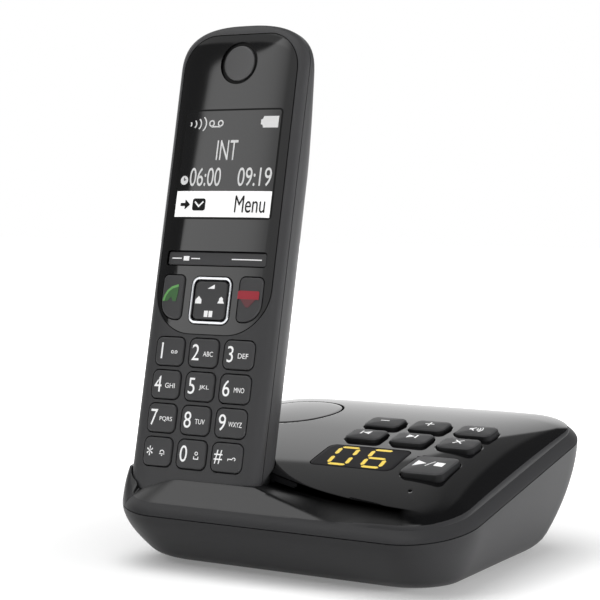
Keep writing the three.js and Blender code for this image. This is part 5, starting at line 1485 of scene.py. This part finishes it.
class OBJECT_OT_machine_deck_keys(Builder, Operator):
    """Build the base's keys with rounded edges, and print their symbols"""

    bl_idname = "object.machine_deck_keys"
    bl_label = "Keys of the base"

    def build(self):
        form, deck, looks = self.form, self.deck, self.looks
        for name, x, y, half_x, half_y in deck_keys(deck):
            top = float(form.above_deck(np.array(x), np.array(y))) + deck.stand
            outline = partial(even_rect, x, y, half_x, half_y, deck.corner)
            middle = np.array([x, y])
            shape = key_cap(outline, deck.key_bottom, top, deck.edge, deck.crown, middle, deck.flange)
            cap = new_object("cap_" + name, form.placed(shape))
            self.paint_side_shade(cap.data)
            finish_piece(cap, name, [looks["key_grey"], looks["key_side_painted_shade"]], [name], sharp=40)
            symbol = on_crown(plate(BASE_SYMBOLS[name], PRINT), half_x, half_y, top, deck.crown)
            mark = new_object("mark_" + name, form.placed(shifted(symbol, x, y)))
            finish_piece(mark, name, looks["white"])

    def paint_side_shade(self, mesh):
        """Faces turned away from the deck's normal take the second finish: painted shade on the keys' sides.
        """
        tilt, turned_away = self.form.base.tilt, 0.55
        upright = face_values(mesh, "normal") @ np.array([0, -math.sin(tilt), math.cos(tilt)])
        mesh.polygons.foreach_set("material_index", (upright < turned_away).astype(np.int32))


class OBJECT_OT_machine_paging_key(Builder, Operator):
    """Build the round paging key, whose top carries on the dome"""

    bl_idname = "object.machine_paging_key"
    bl_label = "Paging key"

    def build(self):
        deck, middle = self.deck, np.array([self.deck.paging_x, self.deck.paging_y])
        shape = self.form.dome_cap(paging_outline(deck), deck.key_bottom, deck.flange, deck.lip, middle)
        disc = new_object("paging_disc", shape)
        finish_piece(disc, "paging_key", self.looks["gloss_black"], ["paging_key"])


class OBJECT_OT_machine_message_display(Builder, Operator):
    """Build the message display's smoked window and its two lit figures"""

    bl_idname = "object.machine_message_display"
    bl_label = "Message display"

    def build(self):
        form, deck, looks = self.form, self.deck, self.looks
        middle, soft = np.array([deck.window_x, deck.window_y]), 0.15 * MM
        shape = form.dome_cap(window_outline(deck), deck.window_seat, 0, soft, middle)
        pane = new_object("message_window", shape)
        finish_piece(pane, "base", looks["clear_dark"], ["display_window"])
        width, height, stroke_width = deck.digit_width / MM, deck.digit_height / MM, deck.digit_stroke / MM
        figures = []
        for place, figure in ((-0.5, "0"), (0.5, "6")):
            loops = seven_segments(figure, width, height, stroke_width, deck.digit_slant)
            x = deck.window_x + place * deck.digit_pitch
            figures.append(shifted(plate(loops, PRINT), x, deck.window_y))
        points, faces = join(figures)
        points[:, 2] += form.above_deck(points[:, 0], points[:, 1])
        lit = new_object("message_count", form.placed((points, faces)))
        finish_piece(lit, "base", looks["amber"])


# Outlines on the handset's face, each grown by a distance


def middle_and_half(low, high):
    """Middle of a stretch and half its length."""
    return (low + high) / 2, (high - low) / 2


def screen_outline(handset, grow):
    middle, half = middle_and_half(handset.screen_low, handset.screen_high)
    return even_rect(0, middle, handset.screen_half, half, handset.small_corner, grow, sides=30)


def panel_outline(handset, grow):
    low, high = handset.panel_low_corner + grow, handset.panel_high_corner + grow
    half, radii = handset.panel_half + grow, [low, high, high, low]
    return rounded(-half, half, handset.panel_low - grow, handset.panel_high + grow, radii, 14, 40)


def call_outline(handset, side, grow):
    """A call key by its side, with the large radius at its lower outer corner."""
    inner, outer = handset.call_inner - grow, handset.call_outer + grow
    small, large = handset.call_corner + grow, handset.call_sweep + grow
    x0, x1 = (inner, outer) if side > 0 else (-outer, -inner)
    radii = [large, small, small, small] if side > 0 else [small, small, small, large]
    return rounded(x0, x1, handset.call_low - grow, handset.call_high + grow, radii)


def soft_outline(handset, grow):
    middle, half = middle_and_half(handset.soft_low, handset.soft_high)
    return even_rect(0, middle, handset.soft_half, half, handset.small_corner, grow)


def nav_outline(handset, grow):
    half = handset.nav_half
    return even_rect(0, handset.nav, half, half, handset.nav_corner, grow)


def trim_outline(handset, grow, **counts):
    half = handset.trim_half
    return even_rect(0, handset.nav, half, half, handset.trim_corner, grow, **counts)


def cover_outline(handset, grow):
    half, corner = handset.cover_half + grow, handset.cover_corner + grow
    return rounded(-half, half, handset.cover_low - grow, handset.cover_high + grow, [corner] * 4, 8, 24)


def number_places(handset):
    """Name and middle of each number key."""
    names = [
        ("key_1", "key_2", "key_3"), ("key_4", "key_5", "key_6"), ("key_7", "key_8", "key_9"),
        ("key_star", "key_0", "key_hash"),
    ]
    return [
        (name, (column - 1) * handset.number_pitch_x, handset.number_top - row * handset.number_pitch_v)
        for row, row_names in enumerate(names) for column, name in enumerate(row_names)
    ]


def number_outline(handset, x, v, grow):
    return even_rect(x, v, handset.number_x, handset.number_v, handset.key_corner, grow)


class OBJECT_OT_machine_handset_front(Builder, Operator):
    """Build the handset's front shell and the gloss panel set into it"""

    bl_idname = "object.machine_handset_front"
    bl_label = "Front of the handset"

    def build(self):
        phone, looks, handset = self.phone, self.looks, self.phone.handset
        gap, play = handset.gap, handset.key_play
        through = partial(phone.slab, depth0=-OVERRUN, depth1=handset.tall / 4)
        shell = new_object("front_shell", phone.body(0))
        combine(shell, [phone.block_to(-OVERRUN, handset.seam)], "INTERSECT")
        hollow = new_object("hollow", phone.body(-handset.wall, 0.6))
        combine(hollow, [phone.block_to(handset.plate, handset.tall)], "INTERSECT")
        holes = [through(number_outline(handset, x, v, play)) for _, x, v in number_places(handset)]
        fields = [through(call_outline(handset, side, play)) for side in (-1, 1)]
        fields.append(through(soft_outline(handset, play)))
        plate_holes = [
            through(screen_outline(handset, gap)),
            through(nav_outline(handset, play)),
            through(circle(0, handset.ear, handset.ear_bore)),
            through(circle(0, handset.microphone, handset.microphone_hole, 20)),
        ]
        recess = phone.slab(panel_outline(handset, gap), -OVERRUN, handset.panel + gap)
        combine(shell, [hollow, recess, join(holes + fields + plate_holes)])
        shell.data.transform(phone.matrix())
        finish_piece(shell, "handset", looks["handset_grey"], ["handset_front_shell"])
        pane = new_object("front_panel", phone.body(0))
        combine(pane, [phone.block_to(-OVERRUN, handset.panel)], "INTERSECT")
        combine(pane, [through(panel_outline(handset, 0))], "INTERSECT")
        ear_hole = through(circle(0, handset.ear, handset.ear_ring, 96))
        combine(pane, [join(fields + [through(trim_outline(handset, gap)), ear_hole])])
        pane.data.transform(phone.matrix())
        finish_piece(pane, "handset", looks["panel"], ["handset_panel"])


class OBJECT_OT_machine_handset_back(Builder, Operator):
    """Build the handset's back shell with its battery compartment, and the battery cover"""

    bl_idname = "object.machine_handset_back"
    bl_label = "Back of the handset"

    def build(self):
        phone, looks, cradle, handset = self.phone, self.looks, self.cradle, self.phone.handset
        gap, wall = handset.gap, handset.cell_wall
        thick, far = handset.front + handset.back, handset.tall + OVERRUN
        cover_floor = phone.back_at(handset.cover_half, handset.cover_high) - handset.cover_skirt
        shell = new_object("back_shell", phone.body(0))
        combine(shell, [phone.block_to(handset.seam + gap, far)], "INTERSECT")
        combine(shell, [phone.body(-handset.wall, 0.6)])
        half_x = handset.cell_spread + handset.cell_radius + handset.cell_play
        front = handset.cell_depth - handset.cell_radius - gap
        low, high = handset.cell_low - handset.cell_play, handset.cell_high + handset.cell_play
        outside = block((-half_x - wall, front - wall, low - wall), (half_x + wall, thick, high + wall))
        room = combine(new_object("room", outside), [phone.body(0, 0.6)], "INTERSECT")
        ledge = cover_outline(handset, handset.cover_lap)
        seat = new_object("seat", phone.slab(ledge, cover_floor - gap - handset.cover_wall, far))
        combine(seat, [phone.body(-0.02 * MM, 0.6)], "INTERSECT")
        combine(shell, [room, seat], "UNION")
        holes = circle(0, handset.ringer, handset.ringer_ring, 6)
        ringer = [phone.rod(x, v, handset.ringer_hole, thick / 2, far, 24) for x, v in holes]
        pad_x, pad_y = handset.pad_half + gap, handset.pad_depth + gap
        front_y, back_y = cradle.contact_depth - pad_y, cradle.contact_depth + pad_y
        top = 2 * handset.pad_recess + gap
        middles = (-cradle.contact_spread, cradle.contact_spread)
        pads = [block((x - pad_x, front_y, -OVERRUN), (x + pad_x, back_y, top)) for x in middles]
        recess = phone.slab(cover_outline(handset, gap), cover_floor - gap, far)
        space = block((-half_x, front, low), (half_x, far, high))
        combine(shell, [recess, space, join(ringer + pads)])
        shell.data.transform(phone.matrix())
        finish_piece(shell, "handset", looks["handset_grey"], ["handset_back_shell"])
        lid = new_object("cover_plate", phone.body(0))
        combine(lid, [phone.block_to(cover_floor, far)], "INTERSECT")
        combine(lid, [phone.slab(cover_outline(handset, 0), 0, far)], "INTERSECT")
        under = new_object("under", phone.body(-handset.cover_wall, 0.6))
        combine(under, [phone.slab(cover_outline(handset, -handset.cover_wall), 0, far)], "INTERSECT")
        combine(lid, [under])
        lid.data.transform(phone.matrix())
        finish_piece(lid, "battery_cover", looks["handset_grey"], ["battery_cover"])


# Marks of the number keys: places from the key's middle, figures with their letters, small symbols

FIGURE_PLACE, LETTERS_PLACE, SIDE_PLACE = np.array([[-2.9, 0.1], [1.9, -0.3], [2, -0.3]]) * MM
KEY_WORDS = {
    "key_1": ("1", None), "key_2": ("2", "ABC"), "key_3": ("3", "DEF"),
    "key_4": ("4", "GHI"), "key_5": ("5", "JKL"), "key_6": ("6", "MNO"),
    "key_7": ("7", "PQRS"), "key_8": ("8", "TUV"), "key_9": ("9", "WXYZ"),
    "key_star": ("*", None), "key_0": ("0", None), "key_hash": ("#", None),
}
SIDE_MARKS = {
    "key_1": ring(-0.7, 0.1, 0.42, 0.22) + ring(0.7, 0.1, 0.42, 0.22) + [bar(-0.7, -0.55, 0.7, -0.35)],
    "key_star": [
        stroke(arc(0, 0.1, 0.75, -10, 190, 10), 0.28), bar(-1.0, -0.45, 1.0, -0.2),
        arc(0, -0.8, 0.22, 0, 350, 9),
    ],
    "key_0": ring(0, 0.75, 0.5, 0.25) + [
        stroke([[-0.8, -0.2], [-0.8, -1.0], [0.8, -1.0], [0.8, -0.2]], 0.28),
    ],
    "key_hash": ring(0.9, 0, 0.5, 0.25) + [bar(-1.3, -0.12, 0.3, 0.12), bar(-1.3, -0.6, -1.05, -0.12)],
}


class OBJECT_OT_machine_handset_keys(Builder, Operator):
    """Build the handset's number, talk, end, soft and navigation keys with their printed symbols"""

    bl_idname = "object.machine_handset_keys"
    bl_label = "Keys of the handset"

    def build(self):
        phone, looks, handset = self.phone, self.looks, self.phone.handset
        edge = handset.key_edge
        for name, x, v in number_places(handset):
            self.cap(name, partial(number_outline, handset, x, v), handset.proud, np.array([x, v]), edge)
            self.number_marks(name, x, v)
        across, _ = middle_and_half(handset.call_inner, handset.call_outer)
        along, _ = middle_and_half(handset.call_low, handset.call_high)
        for name, side in (("talk_key", -1), ("end_key", 1)):
            middle = np.array([side * across, along])
            self.cap(name, partial(call_outline, handset, side), handset.proud, middle, edge)
            self.call_mark(name, middle)
        middle = np.array([0, middle_and_half(handset.soft_low, handset.soft_high)[0]])
        self.cap("soft_key_bar", partial(soft_outline, handset), -handset.soft_sink, middle, 0.3 * MM)
        lines = shifted(plate(self.soft_lines(), PRINT), 0, middle[1], -handset.soft_sink)
        self.mark("soft_key_bar", lines, looks["white"])
        nav = np.array([0, handset.nav])
        self.cap("nav_key", partial(nav_outline, handset), handset.nav_proud, nav, edge)
        arrows = [loop for shapes, x, y in NAV_SYMBOLS for loop in moved(shapes, x, y, NAV_SCALE)]
        sunk = handset.nav_proud - 0.06 * MM
        self.mark("nav_key", shifted(plate(arrows, PRINT), *nav, sunk), looks["white"])

    def cap(self, name, outline, top, middle, edge):
        """A key from behind the front plate to its height over the face."""
        handset = self.phone.handset
        shape = key_cap(outline, -handset.plate - handset.gap, top, edge, handset.key_crown, middle)
        cap = new_object("cap_" + name, self.phone.bent(shape))
        finish_piece(cap, name, self.looks["key_grey"], [name], sharp=40)

    def mark(self, name, shape, look, ending=""):
        """A printed mark that rides on its key."""
        mark = new_object("mark_" + name + ending, self.phone.bent(shape))
        finish_piece(mark, name, look)

    def number_marks(self, name, x, v):
        """The figure on the left of a number key, and its letters or small symbol on the right.

        Heights and widths of the characters are in millimetres; three letters are 3.7 wide.
        """
        handset = self.phone.handset
        figure, letters = KEY_WORDS[name]
        tall = {"*": 3.2, "#": 4.4}.get(figure, 5.2)
        if letters:
            wide = 3.7 + 1.1 * (len(letters) - 3)
            beside = shifted(text_plate(letters, 1.6, PRINT, wide), *LETTERS_PLACE)
        else:
            beside = shifted(plate(SIDE_MARKS[name], PRINT), *SIDE_PLACE)
        shape = join([shifted(text_plate(figure, tall, PRINT), *FIGURE_PLACE), beside])
        shape = on_crown(shape, handset.number_x, handset.number_v, handset.proud, handset.key_crown)
        self.mark(name, shifted(shape, x, v), self.looks["white"])

    def call_mark(self, name, middle):
        """The lifted and the laid-down receiver: a dim filled shape under a brighter stroke."""
        looks = {"talk_key": ("dark_green", "green"), "end_key": ("dark_red", "red")}[name]
        lifts = (0.05 * MM, ""), (0.07 * MM, "_edge")
        for symbol, look, (lift, ending) in zip(CALL_SYMBOLS[name], looks, lifts):
            height = self.phone.handset.proud + lift
            shape = shifted(plate(symbol, PRINT), *(middle + CALL_PLACE), height)
            self.mark(name, shape, self.looks[look], ending)

    def soft_lines(self):
        """Lines on the soft-key bar: two strokes with a block between them left, one in strips right."""
        half, thin, high = self.phone.handset.soft_half / MM, 0.175, 0.75
        left = [(1.6, 5.4, thin), (6.2, 8.4, high), (9.2, 12.6, thin)]
        ends = half - 12.8, half - 1.6
        right = strips([(x, -thin) for x in ends], [(x, thin) for x in ends])
        return [bar(start - half, -rise, end - half, rise) for start, end, rise in left] + right


# Symbols of the navigation key with their places on it: loops in millimetres, before their scale

NAV_SCALE = 1.45
NAV_SYMBOLS = [
    ([np.array([[-0.9, -0.5], [0.9, -0.5], [0.9, 0.5]])], 0, 4.5),
    ([np.array([[-0.8, -0.8], [0.8, -0.8], [0.8, 0.1], [0, 0.9], [-0.8, 0.1]])], -4.3, 0),
    ([np.array([
        [-0.9, -0.6], [0.9, -0.6], [0.5, 0.1], [0.5, 0.5], [0, 0.9], [-0.5, 0.5], [-0.5, 0.1],
    ])], 4.3, 0),
    ([bar(-1.1, -0.7, -0.12, 0.7), bar(0.12, -0.7, 1.1, 0.7)], 0, -4.4),
]


class OBJECT_OT_machine_nav_trim(Builder, Operator):
    """Build the silver trim around the navigation key, rounded across its width"""

    bl_idname = "object.machine_nav_trim"
    bl_label = "Silver trim"

    def build(self):
        phone, handset = self.phone, self.phone.handset
        width, proud, foot = handset.trim_width, handset.trim_proud, -handset.panel
        angles = np.linspace(HALF_TURN, 0, 9)
        crown = [(width / 2 * (1 + math.cos(a)), proud * math.sin(a)) for a in angles]
        profile = [(0, foot), *crown, (width, foot)]
        outlines = [trim_outline(handset, -inset, steps=12) for inset, _ in profile]
        rings = [np.insert(outline, 2, out, axis=1) for outline, (_, out) in zip(outlines, profile)]
        count = len(rings[0])
        side = np.arange(count)
        low = (len(profile) - 1) * count + side
        under = np.stack([low, np.roll(low, -1), np.roll(side, -1), side], 1)
        faces = quad_faces(len(profile), count, True).tolist() + under.tolist()
        trim = new_object("nav_trim", phone.placed((facing(np.concatenate(rings)), faces)))
        finish_piece(trim, "handset", self.looks["silver_trim"], ["nav_frame"])


class OBJECT_OT_machine_earpiece(Builder, Operator):
    """Build the earpiece's disc with its soft edge, and a thin black ring under the gap around it"""

    bl_idname = "object.machine_earpiece"
    bl_label = "Earpiece"

    def build(self):
        phone, looks, handset = self.phone, self.looks, self.phone.handset
        middle, panel = np.array([0, handset.ear]), handset.panel
        outline = partial(circle, *middle, handset.ear_cap, 96)
        points, faces = key_cap(outline, 0.45 * MM - panel, 0.0, 0.5 * MM, 0.1 * MM, middle)
        disc = new_object("ear_disc", phone.placed((facing(points), faces)))
        finish_piece(disc, "handset", looks["ear"], ["earpiece_cap"])
        ring_body = phone.rod(*middle, handset.ear_ring - 0.05 * MM, panel - 0.4 * MM, panel, 96)
        collar = new_object("ear_collar", phone.placed(ring_body))
        finish_piece(collar, "handset", looks["screen_edge"])


# Screen symbols in millimetres: each wave's apex and radius, the tape, the battery, arrow and letter

SIGNAL_WAVES = [(-15.7, 0.8), (-13.7, 1.5), (-11.8, 2.1), (-9.8, 2.9)]
WAVES = [stroke(arc(apex - radius, 0, radius, -52, 52), 0.45) for apex, radius in SIGNAL_WAVES]
TAPE = ring(-1.7, 0.2, 0.9, 0.45) + ring(1.7, 0.2, 0.9, 0.45) + [bar(-1.7, -1.15, 1.7, -0.7)]
BATTERY = [np.array([
    [-3.3, -0.8], [-2.7, -0.9], [-2.3, -1.9], [3.1, -1.9], [3.1, 1.9], [-2.3, 1.9], [-2.7, 0.9], [-3.3, 0.8],
])]
CLOCK, HANDS = [arc(0, 0, 1.5, 0, 345, 24)], [stroke([[0, 0.9], [0, 0], [0.7, 0.25]], 0.3)]
ARROW = [np.array([
    [-1.9, -0.5], [-0.1, -0.5], [-0.1, -1.7], [1.9, 0], [-0.1, 1.7], [-0.1, 0.5], [-1.9, 0.5],
])]
LETTER = [rounded(-2.5, 2.5, -2, 2, [0.8] * 4, 4, 2), stroke([[-1.7, 1], [0, -0.6], [1.7, 1]], 0.6)]


class OBJECT_OT_machine_screen(Builder, Operator):
    """Build the handset's screen picture: background, edge, status symbols, times and soft-key labels"""

    bl_idname = "object.machine_screen"
    bl_label = "Screen of the handset"

    def build(self):
        handset, looks = self.phone.handset, self.looks
        self.sheet("screen_edge", screen_outline(handset, 0.6 * MM), 0.03, looks["screen_edge"])
        self.sheet("screen_picture", screen_outline(handset, 0), 0.06, looks["screen"])
        hair, tall = 0.1 * MM, 8.7 * MM
        low, side = handset.screen_low, handset.screen_half - hair
        strip = rounded(-side, side, low + hair, low + tall, [hair] * 4, 3, 30)
        self.sheet("screen_bar", strip, 0.09, looks["paper"])
        white = [
            (plate(WAVES, PRINT), 0, 124.2),
            (plate(TAPE, PRINT), -5.9, 124.1),
            (plate(BATTERY, PRINT), 14.6, 124.5),
            (text_plate("INT", 6.6, PRINT, 8), -0.5, 115.3),
            (text_plate("06:00", 6.1, PRINT, 12.1), -7.7, 106.4),
            (text_plate("09:19", 6.1, PRINT, 12.6), 11.2, 106.4),
            (plate(CLOCK, PRINT), -15.9, 105.3),
        ]
        dark = [
            (plate(ARROW, PRINT), -14.3, 97.2),
            (plate(LETTER, PRINT), -8.9, 97.2),
            (text_plate("Menu", 5.6, PRINT, 11.4), 10.7, 97.4),
            (plate(HANDS, PRINT), -15.9, 105.3),
        ]
        for name, marks, lift, look in (
            ("screen_characters", white, 0.16, "characters"), ("screen_labels", dark, 0.22, "screen_edge"),
        ):
            shapes = [shifted(shape, x * MM, v * MM, lift * MM) for shape, x, v in marks]
            self.print(name, join(shapes), looks[look])

    def sheet(self, name, outline, lift, look):
        """A thin plate on the curved face: rings from the outline to its middle."""
        middle, foot, top = outline.mean(0), -0.3 * MM, lift * MM
        steps = [(outline, foot), (outline, top)]
        steps += [(middle + (outline - middle) * part, top) for part in np.linspace(1, 0, 12)[1:-1]]
        self.print(name, tower(steps), look)

    def print(self, name, shape, look):
        """A shape set on the handset's face as a piece of the screen."""
        thing = new_object(name, self.phone.standing(shape))
        finish_piece(thing, "handset", look)


# Place and axes of the camera, fitted to the base and the handset in the picture

CAMERA_AXES = {
    "right": (0.85903, 0.51191, 0.00191),
    "up": (-0.03328, 0.05211, 0.99809),
    "back": (0.51084, -0.85745, 0.0618),
}
CAMERA_PLACE = (0.27463, -0.49563, 0.11906)
# Name, place in metres, size and power of each lamp; all of them look at the origin
LAMPS = [
    ("lamp_top", (-0.1, -0.1, 1.1), 1.2, 9.0),
    ("lamp_front", (-0.5, -1.1, 1.1), 0.9, 5.0),
    ("lamp_right", (1.2, 0.1, 0.16), 0.3, 19.0),
]


class OBJECT_OT_machine_stage(Builder, Operator):
    """Build the pale floor, the studio light and the camera"""

    bl_idname = "object.machine_stage"
    bl_label = "Stage"

    def execute(self, context):
        scene, stage = context.scene, context.scene.machine_stage
        scene.view_settings.view_transform = "Standard"
        self.camera(scene, stage)
        self.floor(scene, stage)
        self.world(scene, stage)
        for name, place, size, power in LAMPS:
            light = bpy.data.lights.new(name, "AREA")
            light.shape, light.size, light.energy = "DISK", size, power
            lamp = bpy.data.objects.new(name, light)
            lamp.location = place
            lamp.rotation_euler = (-Vector(place)).to_track_quat("-Z", "Y").to_euler()
            lamp.visible_glossy = False
            scene.collection.objects.link(lamp)
        return {"FINISHED"}

    def camera(self, scene, stage):
        """The fitted camera."""
        camera = bpy.data.cameras.new("camera")
        camera.lens, camera.sensor_width, camera.sensor_fit = stage.lens, 36, "HORIZONTAL"
        camera.clip_start, camera.clip_end = 0.01, 20
        thing = bpy.data.objects.new("camera", camera)
        columns = [(*axis, 0) for axis in CAMERA_AXES.values()] + [(*CAMERA_PLACE, 1)]
        thing.matrix_world = Matrix(columns).transposed()
        scene.collection.objects.link(thing)
        scene.camera = thing

    def floor(self, scene, stage):
        """A floor that the lamps light, and that glows where it is seen, more with the distance."""
        half, near, far, brightest = stage.floor_half, 0.08, 0.34, 1.1
        square = np.array([[-half, -half, 0], [half, -half, 0], [half, half, 0], [-half, half, 0]])
        thing = new_object("floor", (square, [[0, 1, 2, 3]]))
        material, nodes = new_material("Pale floor")
        paint = nodes.add("ShaderNodeBsdfDiffuse", {"Color": (*scene.machine_finishes.floor, 1)})
        path = nodes.add("ShaderNodeLightPath").outputs
        mirrored = nodes.plus(path["Is Glossy Ray"], path["Is Transmission Ray"])
        seen = nodes.maths("ADD", path["Is Camera Ray"], mirrored, clamp=True)
        reach = nodes.add("ShaderNodeVectorMath", {0: nodes.place()}, operation="LENGTH").outputs["Value"]
        level = nodes.band(reach, near, far, stage.floor_glow, brightest)
        glow = nodes.add("ShaderNodeEmission", {"Color": (1, 1, 1, 1), "Strength": nodes.times(seen, level)})
        both = nodes.add("ShaderNodeAddShader", {0: paint.outputs[0], 1: glow.outputs[0]})
        nodes.add("ShaderNodeOutputMaterial", {"Surface": both.outputs[0]})
        thing.data.materials.append(material)

    def world(self, scene, stage):
        """White towards the camera; in reflections a light card behind and bright sides, dark above.

        Each part of the reflected room is a product of soft steps over azimuth, from +X towards +Y, and
        elevation, both in degrees, and of its power where that isn't one.
        """
        world = bpy.data.worlds.new("Studio")
        scene.world = world
        world.use_nodes = True
        nodes = Nodes(world.node_tree)
        band, ramp = nodes.band, nodes.ramp
        path = nodes.add("ShaderNodeLightPath").outputs
        way = nodes.add("ShaderNodeTexCoord").outputs["Generated"]
        way = nodes.add("ShaderNodeSeparateXYZ", {0: way}).outputs
        degrees, everywhere = 180 / HALF_TURN, 0.07
        up = nodes.times(nodes.maths("ARCSINE", way["Z"]), degrees)
        azimuth = nodes.times(nodes.maths("ARCTAN2", way["Y"], way["X"]), degrees)
        over = nodes.less(up, ramp(azimuth, 111, 128, 32.5, 36.5))
        left_edge = nodes.plus(azimuth, nodes.times(nodes.less(24.0, up), 0.4))
        below_top = nodes.less(ramp(azimuth, -130, -126, 31.5, 42), up)
        room = {
            "card behind": (1.12, band(azimuth, 88, 98), band(over, 0.8, -0.8)),
            "wall above the card": (
                band(azimuth, 90, 99), band(over, -0.8, 0.8), band(up, 75, 58),
                ramp(azimuth, 112, 124, 0.16, 0.32),
            ),
            "low light at the right": (0.3, band(azimuth, -30, 20), band(azimuth, 98, 88), band(up, 12, 4)),
            "more of it to the front": (0.3, band(azimuth, -20, 20), band(azimuth, 88, 70), band(up, 12, 3)),
            "window in front": (
                band(left_edge, -129.2, -128.2), band(below_top, -1, 1), band(azimuth, -20, -60),
                ramp(azimuth, -127, -108, 2.3, 0.85),
            ),
            "light on the ramp": (2.2, band(azimuth, -60, -80), band(up, 40, 50), band(up, 80, 65)),
            "streak on the dome": (0.6, band(up, 32.5, 34.5), band(up, 50, 42), band(azimuth, -105, -125)),
            "dim corner": (0.14, band(azimuth, -105, -125), band(up, 60, 45)),
        }
        total = nodes.plus(everywhere, *(nodes.times(*parts) for parts in room.values()))
        camera = path["Is Camera Ray"]
        shiny = nodes.maths("ADD", path["Is Glossy Ray"], path["Is Transmission Ray"], clamp=True)
        plain = nodes.times(nodes.less(1.0, shiny), stage.fill)
        light = nodes.plus(nodes.times(total, shiny), plain)
        strength = nodes.plus(nodes.times(light, nodes.less(1.0, camera)), camera)
        back = nodes.add("ShaderNodeBackground", {"Color": (1, 1, 1, 1), "Strength": strength})
        nodes.add("ShaderNodeOutputWorld", {"Surface": back.outputs[0]})


class VIEW3D_PT_machine(Panel):
    """Sizes, colours and build steps of the answering machine"""

    bl_label = "Answering machine"
    bl_idname = "VIEW3D_PT_machine"
    bl_space_type = "VIEW_3D"
    bl_region_type = "UI"
    bl_category = "Answering machine"

    def draw(self, context):
        layout = self.layout
        for operator in OPERATORS:
            layout.operator(operator.bl_idname)
        for name, group in GROUPS.items():
            box = layout.box()
            box.label(text=group.__doc__.split(":")[0])
            for key in group.__annotations__:
                box.prop(getattr(context.scene, name), key)


OPERATORS = (
    OBJECT_OT_machine_cad_finishes,
    OBJECT_OT_machine_base_top,
    OBJECT_OT_machine_base_bottom,
    OBJECT_OT_machine_feet,
    OBJECT_OT_machine_deck_keys,
    OBJECT_OT_machine_paging_key,
    OBJECT_OT_machine_message_display,
    OBJECT_OT_machine_handset_front,
    OBJECT_OT_machine_handset_back,
    OBJECT_OT_machine_handset_keys,
    OBJECT_OT_machine_nav_trim,
    OBJECT_OT_machine_earpiece,
    OBJECT_OT_machine_screen,
    OBJECT_OT_machine_stage,
)
GROUPS = {
    "machine_base": BaseSizes,
    "machine_deck": DeckSizes,
    "machine_cradle": CradleSizes,
    "machine_handset": HandsetSizes,
    "machine_finishes": Finishes,
    "machine_stage": StageSizes,
}


def register():
    for name, group in GROUPS.items():
        bpy.utils.register_class(group)
        setattr(bpy.types.Scene, name, PointerProperty(type=group))
    for kind in (*OPERATORS, VIEW3D_PT_machine):
        bpy.utils.register_class(kind)


def unregister():
    for kind in (VIEW3D_PT_machine, *reversed(OPERATORS)):
        bpy.utils.unregister_class(kind)
    for name, group in reversed(GROUPS.items()):
        delattr(bpy.types.Scene, name)
        bpy.utils.unregister_class(group)


def main():
    """Registers the settings and operators, then runs every step in order."""
    register()
    for operator in OPERATORS:
        family, step = operator.bl_idname.split(".")
        getattr(getattr(bpy.ops, family), step)()


if __name__ == "__main__":
    main()
